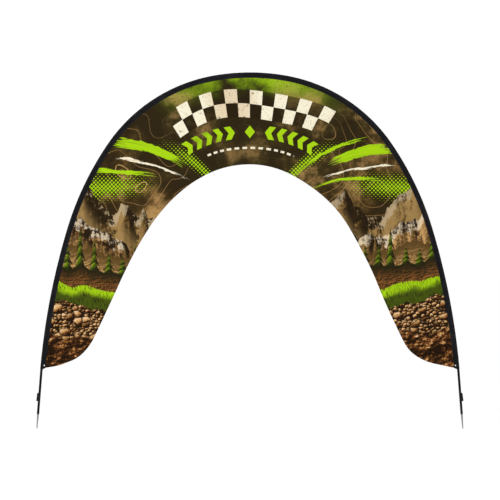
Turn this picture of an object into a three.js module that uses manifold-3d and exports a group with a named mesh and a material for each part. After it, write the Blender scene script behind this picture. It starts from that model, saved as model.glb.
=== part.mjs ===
// Outdoor arch flag: a printed cloth arch held open by a flexible pole that is bent through
// a black sleeve along its outer edge. The pole's two feet end in steel ground spikes.
// Millimetres. X runs across the arch, Y through the cloth, +Z up. The origin is on the
// ground, midway between the two spikes, in the plane of the cloth.

import * as THREE from 'three';
import { mergeVertices } from 'three/addons/utils/BufferGeometryUtils.js';
import Module from 'manifold-3d';

const wasm = await Module();
wasm.setup();

// ---- Driving dimensions ----

const CROWN_HEIGHT = 3562; // the sleeve's outer line, at the top of the arch
const HEM_CROWN_HEIGHT = 2641; // the free edge, at the top of the doorway
const PLAY = 0.3; // clearance between pieces that touch

// The sleeve's outer line, from the crown down one side. Each row is an arc, and turn is
// the angle in degrees by which the line bends down along it.
const OUTER_ARCS = [
  { length: 365, turn: 10.02, steps: 4 },
  { length: 1295, turn: 45.73, steps: 14 },
  { length: 950, turn: 17.53, steps: 7 },
  { length: 1499, turn: 12.29, steps: 8 },
  { length: 600, turn: 0, steps: 1 },
];

// The panel's free edge, from the crown down one side and out along the bottom.
const HEM_ARCS = [
  { length: 429, turn: 26.56, steps: 6 },
  { length: 801, turn: 31.64, steps: 10 },
  { length: 645, turn: 8.71, steps: 6 },
  { length: 613, turn: -3.31, steps: 5 },
  { length: 330, turn: -44.13, steps: 11 },
  { length: 248, turn: -11.2, steps: 5 },
  { length: 14, turn: -0.6, steps: 1 },
];

// Where the cloth's cross lines start on the outer line, for distances along the free edge.
const CROSS_LINE_STARTS = [
  { hem: 0, outer: 0 },
  { hem: 429, outer: 833 },
  { hem: 1230, outer: 1793 },
  { hem: 1875, outer: 2600 },
  { hem: 2488, outer: 3250 },
  { hem: 2818, outer: 3720 },
  { hem: 3080, outer: 3998 },
];

// How far the free edge has settled sideways: outwards on the left leg, inwards on the right.
const HEM_SIDEWAYS = [
  { along: 0, shift: 0 },
  { along: 600, shift: 6 },
  { along: 1000, shift: 2 },
  { along: 1600, shift: 11 },
  { along: 2200, shift: 18.5 },
  { along: 2560, shift: 18 },
  { along: 2800, shift: 6 },
  { along: 2960, shift: -2 },
  { along: 3080, shift: 0 },
];

// How far the slack free edge stands forward of the arch's plane, from left foot to right.
const HEM_FORWARD = [
  { along: -3080, shift: 0 },
  { along: -2450, shift: 9 },
  { along: -1600, shift: -6 },
  { along: -800, shift: 4 },
  { along: 0, shift: -3 },
  { along: 900, shift: 5 },
  { along: 1700, shift: -7 },
  { along: 2500, shift: 8 },
  { along: 3080, shift: 0 },
];

const PANEL_THICKNESS = 1.2;
const HEM_WIDTH = 15;
const HEM_THICKNESS = 2.4;
const HEM_FOLD = 0.6; // the width over which the cloth thickens into its hem
const SEAM_INSET = 46; // from the sleeve's outer line to the panel's raw outer edge
const SEAM_ALLOWANCE = 13; // the flat strip of the panel that the sleeve holds
const HEM_FLAT_LENGTH = 14; // where the hem is pressed flat to go between the sleeve's plies

const SLEEVE_WIDTH = 55;
const SLEEVE_THICKNESS = 1;
const SLEEVE_END_LENGTH = 110; // the reinforced lower end
const SLEEVE_LENGTH = 4034; // from the crown to the sleeve's lower end, outer line
const SLEEVE_CORNER_RISE = 15; // how much shorter the sleeve is on its inner side
const POCKET_RADIUS = 13.2; // inside the folded sleeve, round the pole
const POCKET_SEAM_INSET = 29; // where the two plies meet, past the pole
const POCKET_FACETS = 12;
const POLE_INSET = SLEEVE_THICKNESS + POCKET_RADIUS; // to the pole's axis

const POLE_RADIUS = 12.5;
const POLE_SIDES = 16;
const POLE_FOOT_HEIGHT = 145;
const SPIGOT = { radius: 7, length: 111, boreDepth: 114, steps: 3 };

const SPINDLE = { radius: 7.7, length: 110, boreDepth: 114 };
const SPIKE_TOP_RADIUS = 11;
const SPIKE_TIP_RADIUS = 5;

const ROUND_SIDES = 24; // facets round the eyelets and the spikes

const EYELET = { inset: 38.2, rise: 39, hole: 4.75, barrel: 6, flange: 9, flangeThickness: 0.8 };

const CLIP = {
  topHeight: 355, length: 84, topReach: 11.5, bottomReach: 15, lipHeight: 12, bevel: 3,
  width: 12, wrap: 3, wrapAngle: 115, undercut: 5,
};

// ---- Lines of the arch ----

const degrees = Math.PI / 180;

// A point and a downward heading on a chain of arcs that starts level at the crown.
function walk(arcs, crownHeight, along) {
  let left = along;
  let x = 0;
  let z = crownHeight;
  let heading = 0;
  for (const arc of arcs) {
    const run = arc === arcs.at(-1) ? left : Math.min(left, arc.length);
    const turn = arc.turn * degrees * run / arc.length;
    const middle = heading + turn / 2;
    const chord = turn === 0 ? run : run * Math.sin(turn / 2) / (turn / 2);
    x += chord * Math.cos(middle);
    z -= chord * Math.sin(middle);
    heading += turn;
    left -= run;
    if (left <= 0) break;
  }
  return { x, z, heading };
}

// The same on both sides: along is negative on the left leg. inward points into the arch.
function onLine(arcs, crownHeight, along) {
  const side = along < 0 ? -1 : 1;
  const spot = walk(arcs, crownHeight, Math.abs(along));
  return {
    point: new THREE.Vector3(side * spot.x, 0, spot.z),
    inward: new THREE.Vector3(-side * Math.sin(spot.heading), 0, -Math.cos(spot.heading)),
    down: new THREE.Vector3(side * Math.cos(spot.heading), 0, -Math.sin(spot.heading)),
  };
}

const onOuter = (along) => onLine(OUTER_ARCS, CROWN_HEIGHT, along);
const onHem = (along) => onLine(HEM_ARCS, HEM_CROWN_HEIGHT, along);

// A point set in from the sleeve's outer line, and y through the cloth.
function setIn(along, inset, y) {
  const line = onOuter(along);
  return line.point.addScaledVector(line.inward, inset).setY(y);
}

// Reads a column of a short table, with an eased or straight run between its rows.
function readTable(rows, key, column, value, eased = true) {
  const after = Math.max(1, rows.findIndex((row) => row[key] >= value));
  const low = rows[after - 1];
  const high = rows[after];
  const share = THREE.MathUtils.clamp((value - low[key]) / (high[key] - low[key]), 0, 1);
  const part = eased ? share * share * (3 - 2 * share) : share;
  return low[column] + (high[column] - low[column]) * part;
}

// Distances from the crown at which a chain of arcs is divided, out to a limit.
function divisions(arcs, limit) {
  const marks = [0];
  let start = 0;
  for (const arc of arcs) {
    for (let step = 1; step <= arc.steps; step += 1) {
      marks.push(start + arc.length * step / arc.steps);
    }
    start += arc.length;
  }
  return marks.filter((mark) => mark < limit - 5).concat(limit);
}

const bothSides = (marks) => marks.slice(1).reverse().map((mark) => -mark).concat(marks);

// The outer line's shared divisions, so that the sleeve and the pole bend alike.
const SLEEVE_SPLIT = SLEEVE_LENGTH - SLEEVE_END_LENGTH;
const sleeveMarks = divisions(OUTER_ARCS, SLEEVE_SPLIT);
const STRAIGHT_START = OUTER_ARCS.slice(0, -1).reduce((sum, arc) => sum + arc.length, 0);

// ---- Solids ----

// A closed sheet from a grid of points on each of its two faces, 0 and 1.
function sheetSolid(rows, columns, pointAt) {
  const positions = [];
  const index = [];
  const at = (row, column, face) => (face * (rows + 1) + row) * (columns + 1) + column;
  for (const face of [0, 1]) {
    for (let row = 0; row <= rows; row += 1) {
      for (let column = 0; column <= columns; column += 1) {
        positions.push(...pointAt(row, column, face).toArray());
      }
    }
  }
  const quad = (a, b, c, d) => index.push(a, b, c, a, c, d);
  for (let row = 0; row < rows; row += 1) {
    for (let column = 0; column < columns; column += 1) {
      quad(at(row, column, 0), at(row + 1, column, 0), at(row + 1, column + 1, 0), at(row, column + 1, 0));
      quad(at(row, column, 1), at(row, column + 1, 1), at(row + 1, column + 1, 1), at(row + 1, column, 1));
    }
    quad(at(row, 0, 0), at(row, 0, 1), at(row + 1, 0, 1), at(row + 1, 0, 0));
    quad(at(row, columns, 0), at(row + 1, columns, 0), at(row + 1, columns, 1), at(row, columns, 1));
  }
  for (let column = 0; column < columns; column += 1) {
    quad(at(0, column, 0), at(0, column + 1, 0), at(0, column + 1, 1), at(0, column, 1));
    quad(at(rows, column, 0), at(rows, column, 1), at(rows, column + 1, 1), at(rows, column + 1, 0));
  }
  return facingOut(closedGeometry(positions, index));
}

// A round bar turned along the pole's line: each profile row is a ring, and the first and
// last rows lie on the axis.
function turnedAlongPole(profile) {
  const positions = [];
  const index = [];
  const ring = (row) => row === 0 ? 0 : 1 + (row - 1) * POLE_SIDES;
  profile.forEach(({ along, radius }, row) => {
    const onAxis = row === 0 || row === profile.length - 1;
    for (let side = 0; side < (onAxis ? 1 : POLE_SIDES); side += 1) {
      const angle = side * 2 * Math.PI / POLE_SIDES;
      const inset = POLE_INSET - radius * Math.cos(angle);
      positions.push(...setIn(along, inset, radius * Math.sin(angle)).toArray());
    }
  });
  const last = profile.length - 1;
  for (let row = 0; row < last; row += 1) {
    for (let side = 0; side < POLE_SIDES; side += 1) {
      const next = (side + 1) % POLE_SIDES;
      const near = [ring(row) + side, ring(row) + next];
      const far = [ring(row + 1) + side, ring(row + 1) + next];
      if (row === 0) index.push(0, far[1], far[0]);
      else if (row === last - 1) index.push(near[0], near[1], ring(last));
      else index.push(near[0], near[1], far[1], near[0], far[1], far[0]);
    }
  }
  return facingOut(closedGeometry(positions, index));
}

function closedGeometry(positions, index) {
  const geometry = new THREE.BufferGeometry();
  geometry.setAttribute('position', new THREE.Float32BufferAttribute(positions, 3));
  geometry.setIndex(index);
  return geometry;
}

// Six times the volume inside a closed mesh, positive where its faces point out.
function signedVolume(geometry) {
  const position = geometry.attributes.position;
  const corner = [0, 1, 2].map(() => new THREE.Vector3());
  let volume = 0;
  for (let start = 0; start < geometry.index.count; start += 3) {
    corner.forEach((point, turn) => {
      point.fromBufferAttribute(position, geometry.index.getX(start + turn));
    });
    volume += corner[0].dot(corner[1].cross(corner[2]));
  }
  return volume;
}

function facingOut(geometry) {
  if (signedVolume(geometry) < 0) {
    geometry.index.array.reverse();
  }
  return geometry;
}

function toManifold(geometry) {
  const bare = geometry.clone();
  bare.deleteAttribute('normal');
  bare.deleteAttribute('uv');
  const merged = mergeVertices(bare, 1e-4);
  return new wasm.Manifold(new wasm.Mesh({
    numProp: 3,
    vertProperties: new Float32Array(merged.attributes.position.array),
    triVerts: new Uint32Array(merged.index.array),
  }));
}

function toGeometry(solid) {
  const mesh = solid.getMesh();
  return closedGeometry(Array.from(mesh.vertProperties), Array.from(mesh.triVerts));
}

const cut = (geometry, tool) => toGeometry(toManifold(geometry).subtract(toManifold(tool)));
const join = (first, second) => toGeometry(toManifold(first).add(toManifold(second)));

// ---- Printed panel ----

// One sheet of knitted polyester. Its outer edge lies between the sleeve's plies, and its
// free edge is turned into a double hem. The cloth is tight at the sleeve and a little
// slack at the hem, so that it stands a few millimetres in and out of the arch's plane.
function panelGeometry() {
  const hemLength = CROSS_LINE_STARTS.at(-1).hem;
  const hemMarks = bothSides(divisions(HEM_ARCS, hemLength));
  const shares = [0, 0.14, 0.3, 0.48, 0.66, 0.84, 1];
  const columns = shares.length + 2;
  const pointAt = (row, column, face) => {
    const along = hemMarks[row];
    const side = Math.sign(along);
    const reach = Math.abs(along);
    const start = side * readTable(CROSS_LINE_STARTS, 'hem', 'outer', reach, false);
    const hem = onHem(along);
    const sideways = side * readTable(HEM_SIDEWAYS, 'along', 'shift', reach);
    const freeEdge = hem.point.addScaledVector(hem.inward, sideways);
    const hemTop = freeEdge.clone().addScaledVector(hem.inward, -HEM_WIDTH);
    const seam = setIn(start, SEAM_INSET, 0);
    const held = Math.min(SEAM_ALLOWANCE / seam.distanceTo(hemTop), 1 / columns);
    const point = seam.clone();
    let slack = 0;
    let half = PANEL_THICKNESS / 2;
    if (column > shares.length) {
      point.lerpVectors(hemTop, freeEdge, column === columns ? 1 : HEM_FOLD / HEM_WIDTH);
      slack = 1;
      half = reach > hemLength - HEM_FLAT_LENGTH - 1 ? half : HEM_THICKNESS / 2;
    } else if (column > 0) {
      const share = shares[column - 1];
      point.lerp(hemTop, held + (1 - held) * share);
      slack = share * share;
    }
    const forward = -slack * readTable(HEM_FORWARD, 'along', 'shift', along);
    return point.setY(forward + (face === 0 ? -half : half));
  };
  return sheetSolid(hemMarks.length - 1, columns, pointAt);
}

// ---- Pole sleeve ----

// A strip folded round the pole. From its front raw edge the strip runs flat to the pocket
// seam, round the pole, and back to its rear raw edge. Each row gives inset and y.
function sleeveProfile(face) {
  const skin = face === 0 ? SLEEVE_THICKNESS : 0;
  const radius = POCKET_RADIUS + skin;
  const flatY = PANEL_THICKNESS / 2 + PLAY + skin;
  const seam = new THREE.Vector2(POCKET_SEAM_INSET - POLE_INSET, flatY);
  const open = seam.angle() + Math.acos(radius / seam.length());
  const profile = [
    { inset: SLEEVE_WIDTH, y: -flatY },
    { inset: POCKET_SEAM_INSET, y: -flatY },
  ];
  for (let facet = 0; facet <= POCKET_FACETS; facet += 1) {
    const angle = open + (2 * Math.PI - 2 * open) * facet / POCKET_FACETS;
    profile.push({ inset: POLE_INSET + radius * Math.cos(angle), y: -radius * Math.sin(angle) });
  }
  profile.push({ inset: POCKET_SEAM_INSET, y: flatY });
  profile.push({ inset: SLEEVE_WIDTH, y: flatY });
  return profile;
}

function sleeveGeometry(marks, alongAt = (mark) => mark) {
  const faces = [sleeveProfile(0), sleeveProfile(1)];
  const pointAt = (row, column, face) => {
    const { inset, y } = faces[face][column];
    return setIn(alongAt(marks[row], inset), inset, y);
  };
  return sheetSolid(marks.length - 1, faces[0].length - 1, pointAt);
}

// The reinforced lower end: its bottom edge is level by the pole and rises to the panel's
// corner, and one eyelet hole goes through both plies.
function sleeveEndGeometry(side) {
  const marks = [SLEEVE_SPLIT + PLAY, SLEEVE_LENGTH - SLEEVE_CORNER_RISE * 2, SLEEVE_LENGTH];
  const flatWidth = SLEEVE_WIDTH - POCKET_SEAM_INSET;
  const alongAt = (mark, inset) => {
    const isBottom = mark === SLEEVE_LENGTH;
    const rise = isBottom ? Math.max(0, inset - POCKET_SEAM_INSET) / flatWidth : 0;
    return side * (mark - SLEEVE_CORNER_RISE * rise);
  };
  const holeRadius = EYELET.barrel + PLAY;
  const hole = new THREE.CylinderGeometry(holeRadius, holeRadius, SLEEVE_WIDTH, ROUND_SIDES);
  hole.translate(...eyeletCentre(side).toArray());
  return cut(sleeveGeometry(marks, alongAt), hole);
}

// ---- Eyelets ----

function eyeletCentre(side) {
  return setIn(side * (SLEEVE_LENGTH - EYELET.rise), EYELET.inset, 0);
}

// A rolled brass ring, nickelled: a barrel through both plies with a flange on each face.
function eyeletGeometry() {
  const seat = PANEL_THICKNESS / 2 + 2 * PLAY + SLEEVE_THICKNESS;
  const outside = seat + EYELET.flangeThickness;
  const profile = [
    [EYELET.hole, -outside],
    [EYELET.flange, -outside],
    [EYELET.flange, -seat],
    [EYELET.barrel, -seat],
    [EYELET.barrel, seat],
    [EYELET.flange, seat],
    [EYELET.flange, outside],
    [EYELET.hole, outside],
    [EYELET.hole, -outside],
  ].map(([radius, y]) => new THREE.Vector2(radius, y));
  return new THREE.LatheGeometry(profile, ROUND_SIDES);
}

// ---- Poles ----

// The distance down the outer line at which the pole's axis is at a given height.
function alongAtHeight(height) {
  const foot = onOuter(STRAIGHT_START);
  const axisHeight = foot.point.z + foot.inward.z * POLE_INSET;
  return STRAIGHT_START + (height - axisHeight) / foot.down.z;
}

const POLE_LENGTH = alongAtHeight(POLE_FOOT_HEIGHT);

// Each pole is a plain round bar with a bore in its foot for the spike. At the crown the
// left pole's spigot slides into the right pole's bore.
function poleGeometry(side) {
  // The bore's flats, and not only its corners, clear the round spindle.
  const bore = (SPINDLE.radius + PLAY) / Math.cos(Math.PI / POLE_SIDES);
  const footFloor = POLE_LENGTH - SPINDLE.boreDepth;
  const profile = [
    { along: footFloor, radius: 0 },
    { along: footFloor, radius: bore },
    { along: POLE_LENGTH, radius: bore },
  ];
  const footMarks = [SLEEVE_LENGTH, STRAIGHT_START, footFloor, POLE_LENGTH];
  const marks = sleeveMarks.slice(1).concat(footMarks).reverse();
  marks.forEach((mark) => profile.push({ along: mark, radius: POLE_RADIUS }));
  profile.push({ along: PLAY / 2, radius: POLE_RADIUS });
  const isMale = side < 0;
  const reach = isMale ? SPIGOT.length : SPIGOT.boreDepth;
  const radius = isMale ? SPIGOT.radius : SPIGOT.radius + PLAY;
  for (let step = 0; step <= SPIGOT.steps; step += 1) {
    const out = PLAY / 2 + reach * step / SPIGOT.steps;
    profile.push({ along: isMale && step > 0 ? -out : out, radius });
  }
  const end = profile.at(-1);
  profile.push({ along: end.along, radius: 0 });
  return turnedAlongPole(profile.map((row) => ({ ...row, along: side * row.along })));
}

// ---- Foot hardware, placed on the pole's axis ----

// A frame on the pole's axis at a height: +X points out of the arch and +Z up the pole.
function poleFrame(side, height) {
  const line = onOuter(side * alongAtHeight(height));
  const group = new THREE.Group();
  group.position.copy(line.point.addScaledVector(line.inward, POLE_INSET));
  group.rotation.set(0, side * Math.asin(line.inward.z), side < 0 ? Math.PI : 0);
  group.updateMatrix();
  return group;
}

// A tapered steel spike on a round spindle. Its tip is cut level with the ground.
function spikeGeometry(frame) {
  const length = POLE_FOOT_HEIGHT + SPIKE_TIP_RADIUS;
  const profile = [
    [0, -length],
    [SPIKE_TIP_RADIUS, -length],
    [SPIKE_TOP_RADIUS, -PLAY],
    [SPINDLE.radius, -PLAY],
    [SPINDLE.radius, SPINDLE.length - 1],
    [SPINDLE.radius - 1, SPINDLE.length],
    [0, SPINDLE.length],
  ].map(([radius, z]) => new THREE.Vector2(radius, z));
  const spike = new THREE.LatheGeometry(profile, ROUND_SIDES).rotateX(Math.PI / 2);
  const block = 10 * SPIKE_TIP_RADIUS;
  const ground = new THREE.BoxGeometry(2 * block, 2 * block, block);
  ground.translate(frame.position.x, 0, -block / 2);
  ground.applyMatrix4(frame.matrix.clone().invert());
  return cut(spike, ground);
}

// A moulded clip that snaps round the pole from outside. It widens downwards, and its
// square lower end is undercut, so that a loop of cord pulled down over it stays put.
function clipGeometry() {
  const seat = POLE_RADIUS + PLAY;
  const root = seat + CLIP.wrap / 2;
  const side = new THREE.Shape([
    [root, 0],
    [POLE_RADIUS + CLIP.topReach - CLIP.bevel, 0],
    [POLE_RADIUS + CLIP.topReach, -CLIP.bevel],
    [POLE_RADIUS + CLIP.bottomReach, CLIP.lipHeight - CLIP.length],
    [POLE_RADIUS + CLIP.bottomReach, -CLIP.length],
    [root, CLIP.undercut - CLIP.length],
  ].map(([x, z]) => new THREE.Vector2(x, z)));
  const body = new THREE.ExtrudeGeometry(side, { depth: CLIP.width, bevelEnabled: false });
  body.rotateX(Math.PI / 2).translate(0, CLIP.width / 2, 0);
  const angle = CLIP.wrapAngle * degrees;
  const saddle = new THREE.Shape();
  saddle.absarc(0, 0, seat + CLIP.wrap, -angle, angle, false);
  saddle.absarc(0, 0, seat, angle, -angle, true);
  const band = new THREE.ExtrudeGeometry(saddle, {
    depth: CLIP.length, bevelEnabled: false, curveSegments: 16,
  });
  band.translate(0, 0, -CLIP.length);
  return join(band, body);
}

// ---- The arch flag ----

const finishes = {
  print: { color: 0x5b4a2c, roughness: 0.8, metalness: 0 },
  sleeve: { color: 0x1b1b1f, roughness: 0.85, metalness: 0 },
  sleeveEnd: { color: 0x15191b, roughness: 0.7, metalness: 0 },
  pole: { color: 0x111214, roughness: 0.35, metalness: 0 },
  clip: { color: 0x161616, roughness: 0.5, metalness: 0 },
  eyelet: { color: 0xb9bcbe, roughness: 0.3, metalness: 1 },
  spike: { color: 0x8d9093, roughness: 0.45, metalness: 1 },
};

const archFlag = new THREE.Group();

function add(name, geometry, finish, parent = archFlag) {
  const mesh = new THREE.Mesh(geometry, new THREE.MeshStandardMaterial(finishes[finish]));
  mesh.name = name;
  parent.add(mesh);
  return mesh;
}

add('printed_panel', panelGeometry(), 'print');
add('pole_sleeve', sleeveGeometry(bothSides(sleeveMarks)), 'sleeve');

for (const [hand, side] of [['left', -1], ['right', 1]]) {
  add(`${hand}_sleeve_end`, sleeveEndGeometry(side), 'sleeveEnd');
  const eyelet = add(`${hand}_eyelet`, eyeletGeometry(), 'eyelet');
  eyelet.position.copy(eyeletCentre(side));
  add(`${hand}_pole`, poleGeometry(side), 'pole');

  const clipFrame = poleFrame(side, CLIP.topHeight);
  archFlag.add(clipFrame);
  add(`${hand}_hook_clip`, clipGeometry(), 'clip', clipFrame);

  const footFrame = poleFrame(side, POLE_FOOT_HEIGHT);
  archFlag.add(footFrame);
  add(`${hand}_ground_spike`, spikeGeometry(footFrame), 'spike', footFrame);
}

export default archFlag;
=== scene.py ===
"""Outdoor arch flag: a printed cloth arch held open by two flexible poles that are bent
through a black sleeve along its outer edge, and that stand on steel ground spikes.

Metres. X runs across the arch, Y through the cloth, +Z up. The ground is at Z = 0, and
the printed front faces -Y."""

from math import pi, radians

import bmesh
import bpy
import numpy as np
from mathutils import Matrix, Vector


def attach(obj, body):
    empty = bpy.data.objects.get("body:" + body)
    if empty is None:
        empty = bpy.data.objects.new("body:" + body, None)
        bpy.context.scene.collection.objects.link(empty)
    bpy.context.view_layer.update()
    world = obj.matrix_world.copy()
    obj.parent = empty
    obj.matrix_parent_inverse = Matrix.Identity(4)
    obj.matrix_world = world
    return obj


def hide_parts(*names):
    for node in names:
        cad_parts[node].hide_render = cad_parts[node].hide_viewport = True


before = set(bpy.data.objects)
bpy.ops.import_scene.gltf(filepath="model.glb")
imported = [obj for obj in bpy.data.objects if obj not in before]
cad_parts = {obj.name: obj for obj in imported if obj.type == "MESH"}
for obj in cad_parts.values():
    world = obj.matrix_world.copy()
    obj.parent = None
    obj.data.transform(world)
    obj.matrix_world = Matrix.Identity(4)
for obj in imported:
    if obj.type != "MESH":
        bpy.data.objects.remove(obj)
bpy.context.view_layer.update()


# ---- Studio ----
# The arch stands on a white floor in an evenly lit white room, with one large soft light
# high on the left. The camera is far off on a long lens, level with the arch's middle.

VIEW_CENTRE = (0.0013, 0.0, 1.785)
VIEW_WIDTH = 5.0
CAMERA_DISTANCE = 30.0
CAMERA_REACH = 500.0
ROOM_WHITE = (1.0, 1.0, 1.0, 1.0)
ROOM_BRIGHTNESS = 1.03
FLOOR_WHITE = (0.985, 0.985, 0.985, 1.0)
FLOOR_HALF_WIDTH = 150.0
SOFT_LIGHT_PLACE = (-6.5, -7.5, 7.0)
SOFT_LIGHT_SIZE = 5.0
SOFT_LIGHT_WATTS = 260.0

scene = bpy.context.scene
scene.view_settings.view_transform = "Standard"


def show(name, data):
    """Puts this data in the scene as an object of this name."""
    shown = bpy.data.objects.new(name, data)
    scene.collection.objects.link(shown)
    return shown


def new_material(name, **shader_values):
    """A material and its shader, which has these plain values on its own sockets. Here
    and in feed, a socket's spaces are underscores."""
    material = bpy.data.materials.new(name)
    material.use_nodes = True
    shader = material.node_tree.nodes["Principled BSDF"]
    for label, value in shader_values.items():
        shader.inputs[label.replace("_", " ")].default_value = value
    return material, shader


camera_data = bpy.data.cameras.new("camera")
camera_data.lens = camera_data.sensor_width * CAMERA_DISTANCE / VIEW_WIDTH
camera_data.clip_end = CAMERA_REACH
camera = show("camera", camera_data)
camera.location = Vector(VIEW_CENTRE) - Vector((0, CAMERA_DISTANCE, 0))
camera.rotation_euler = (radians(90), 0, 0)
scene.camera = camera

room = bpy.data.worlds.new("white_room")
room.use_nodes = True
room.node_tree.nodes["Background"].inputs["Color"].default_value = ROOM_WHITE
room.node_tree.nodes["Background"].inputs["Strength"].default_value = ROOM_BRIGHTNESS
scene.world = room

light_data = bpy.data.lights.new("soft_light", "AREA")
light_data.size = SOFT_LIGHT_SIZE
light_data.energy = SOFT_LIGHT_WATTS
light = show("soft_light", light_data)
light.location = SOFT_LIGHT_PLACE
light.rotation_euler = (Vector(VIEW_CENTRE) - light.location).to_track_quat("-Z", "Y").to_euler()
light.visible_camera = False

floor_mesh = bpy.data.meshes.new("floor")
square = ((-1, -1, 0), (1, -1, 0), (1, 1, 0), (-1, 1, 0))
floor_mesh.from_pydata([Vector(corner) * FLOOR_HALF_WIDTH for corner in square], [], [(0, 1, 2, 3)])
floor_paint, _ = new_material(
    "floor_paint", Base_Color=FLOOR_WHITE, Roughness=1.0, Specular_IOR_Level=0.0
)
floor_mesh.materials.append(floor_paint)
floor = show("floor", floor_mesh)


# ---- Printed panel: the cloth ----
# One sheet of knitted polyester. Its outer edge is held between the sleeve's plies, and
# its free edge is turned twice and sewn down as a hem. It is tight at the sleeve and a
# little slack at the hem, with small puckers along both seams.

CROWN_HEIGHT = 3.562
HEM_CROWN_HEIGHT = 2.641
HEM_LENGTH = 3.080
PANEL_HALF = 0.0006
HEM_WIDTH = 0.015
HEM_HALF = 0.0012
SEAM_INSET = 0.046
SEAM_ALLOWANCE = 0.013
SEAM_SHARE_LIMIT = 1 / 9
SLEEVE_WIDTH = 0.055

# Each arc is its length and the angle in degrees by which the line bends down along it.
OUTER_ARCS = ((0.365, 10.02), (1.295, 45.73), (0.950, 17.53), (1.499, 12.29), (0.600, 0.0))
HEM_ARCS = (
    (0.429, 26.56), (0.801, 31.64), (0.645, 8.71), (0.613, -3.31),
    (0.330, -44.13), (0.248, -11.2), (0.014, -0.6),
)
# Distance along the hem, and where the cloth's cross line starts on the outer line.
CROSS_LINE_STARTS = (
    (0.0, 0.0), (0.429, 0.833), (1.230, 1.793), (1.875, 2.600),
    (2.488, 3.250), (2.818, 3.720), (3.080, 3.998),
)
# Distance along the hem, and how far the hem has settled sideways there.
HEM_SIDEWAYS = (
    (0.0, 0.0), (0.600, 0.006), (1.000, 0.002), (1.600, 0.011), (2.200, 0.0185),
    (2.560, 0.018), (2.800, 0.006), (2.960, -0.002), (3.080, 0.0),
)
# Distance along the hem from left to right, and how far the slack hem stands forward.
HEM_FORWARD = (
    (-3.080, 0.0), (-2.450, 0.009), (-1.600, -0.006), (-0.800, 0.004), (0.0, -0.003),
    (0.900, 0.005), (1.700, -0.007), (2.500, 0.008), (3.080, 0.0),
)
HEM_FLAT_END = 0.014  # the hem is pressed flat where it enters the sleeve
HEM_TAPER = 0.036
# Distance from the hem's top fold, and the cloth's thickness as a share of the full hem.
HEM_PROFILE = (
    (0.0006, 0.86), (0.0014, 1.0), (0.0024, 0.94), (0.0032, 0.72), (0.0042, 0.94),
    (0.0060, 1.0), (0.0100, 0.98), (0.0128, 0.94), (0.0142, 0.74), (0.0150, 0.4),
)
PANEL_ROWS = 720
PANEL_COLUMNS = 26
PANEL_STRIPS = 2
SEARCH_STEPS = 20
SEARCH_STRIDE = 1.2


def walk(arcs, crown_height, along):
    """Points, inward directions and downward directions on a line of arcs, at distances
    from the crown that are negative down the left side."""
    side = np.where(along < 0, -1.0, 1.0)
    left = np.abs(along)
    x, z, heading = np.zeros_like(left), np.full_like(left, crown_height), np.zeros_like(left)
    for length, turn in arcs:
        is_last = (length, turn) == arcs[-1]
        run = left if is_last else np.minimum(left, length)
        bend = np.radians(turn) * run / length
        chord = run * np.sinc(bend / (2 * pi))
        x = x + chord * np.cos(heading + bend / 2)
        z = z - chord * np.sin(heading + bend / 2)
        heading = heading + bend
        left = left - run
    point = np.stack([side * x, z], -1)
    inward = np.stack([-side * np.sin(heading), -np.cos(heading)], -1)
    down = np.stack([side * np.cos(heading), -np.sin(heading)], -1)
    return point, inward, down


def read_table(rows, value, eased=True):
    """A table's second column where its first has this value, with eased or straight runs."""
    keys, values = np.array(rows).T
    after = np.clip(np.searchsorted(keys, value), 1, len(keys) - 1)
    share = np.clip((value - keys[after - 1]) / (keys[after] - keys[after - 1]), 0, 1)
    part = share * share * (3 - 2 * share) if eased else share
    return values[after - 1] + (values[after] - values[after - 1]) * part


def ease(low, high, value):
    """0 below low, 1 above high, and smooth between."""
    share = np.clip((value - low) / (high - low), 0, 1)
    return share * share * (3 - 2 * share)


def place_on_arch(point, start):
    """Distance along the sleeve's outer line, signed, and depth in from it. The line's
    nearest point is found by stepping along it, a little further each time than is left."""
    side = np.where(start < 0, -1.0, 1.0)
    run = np.abs(start)
    for _ in range(SEARCH_STEPS):
        on_line, _, down = walk(OUTER_ARCS, CROWN_HEIGHT, side * run)
        run = np.maximum(run + SEARCH_STRIDE * ((point - on_line) * down).sum(-1), 0)
    on_line, inward, _ = walk(OUTER_ARCS, CROWN_HEIGHT, side * run)
    return side * run, ((point - on_line) * inward).sum(-1)


def wave(place, lengths, seed):
    """An uneven ripple between about -1 and 1, made of a few waves of these lengths."""
    rng = np.random.default_rng(seed)
    total = 0
    for length in lengths:
        total = total + np.sin(place * 2 * pi / length + rng.uniform(0, 2 * pi))
    return total / len(lengths)


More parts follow.
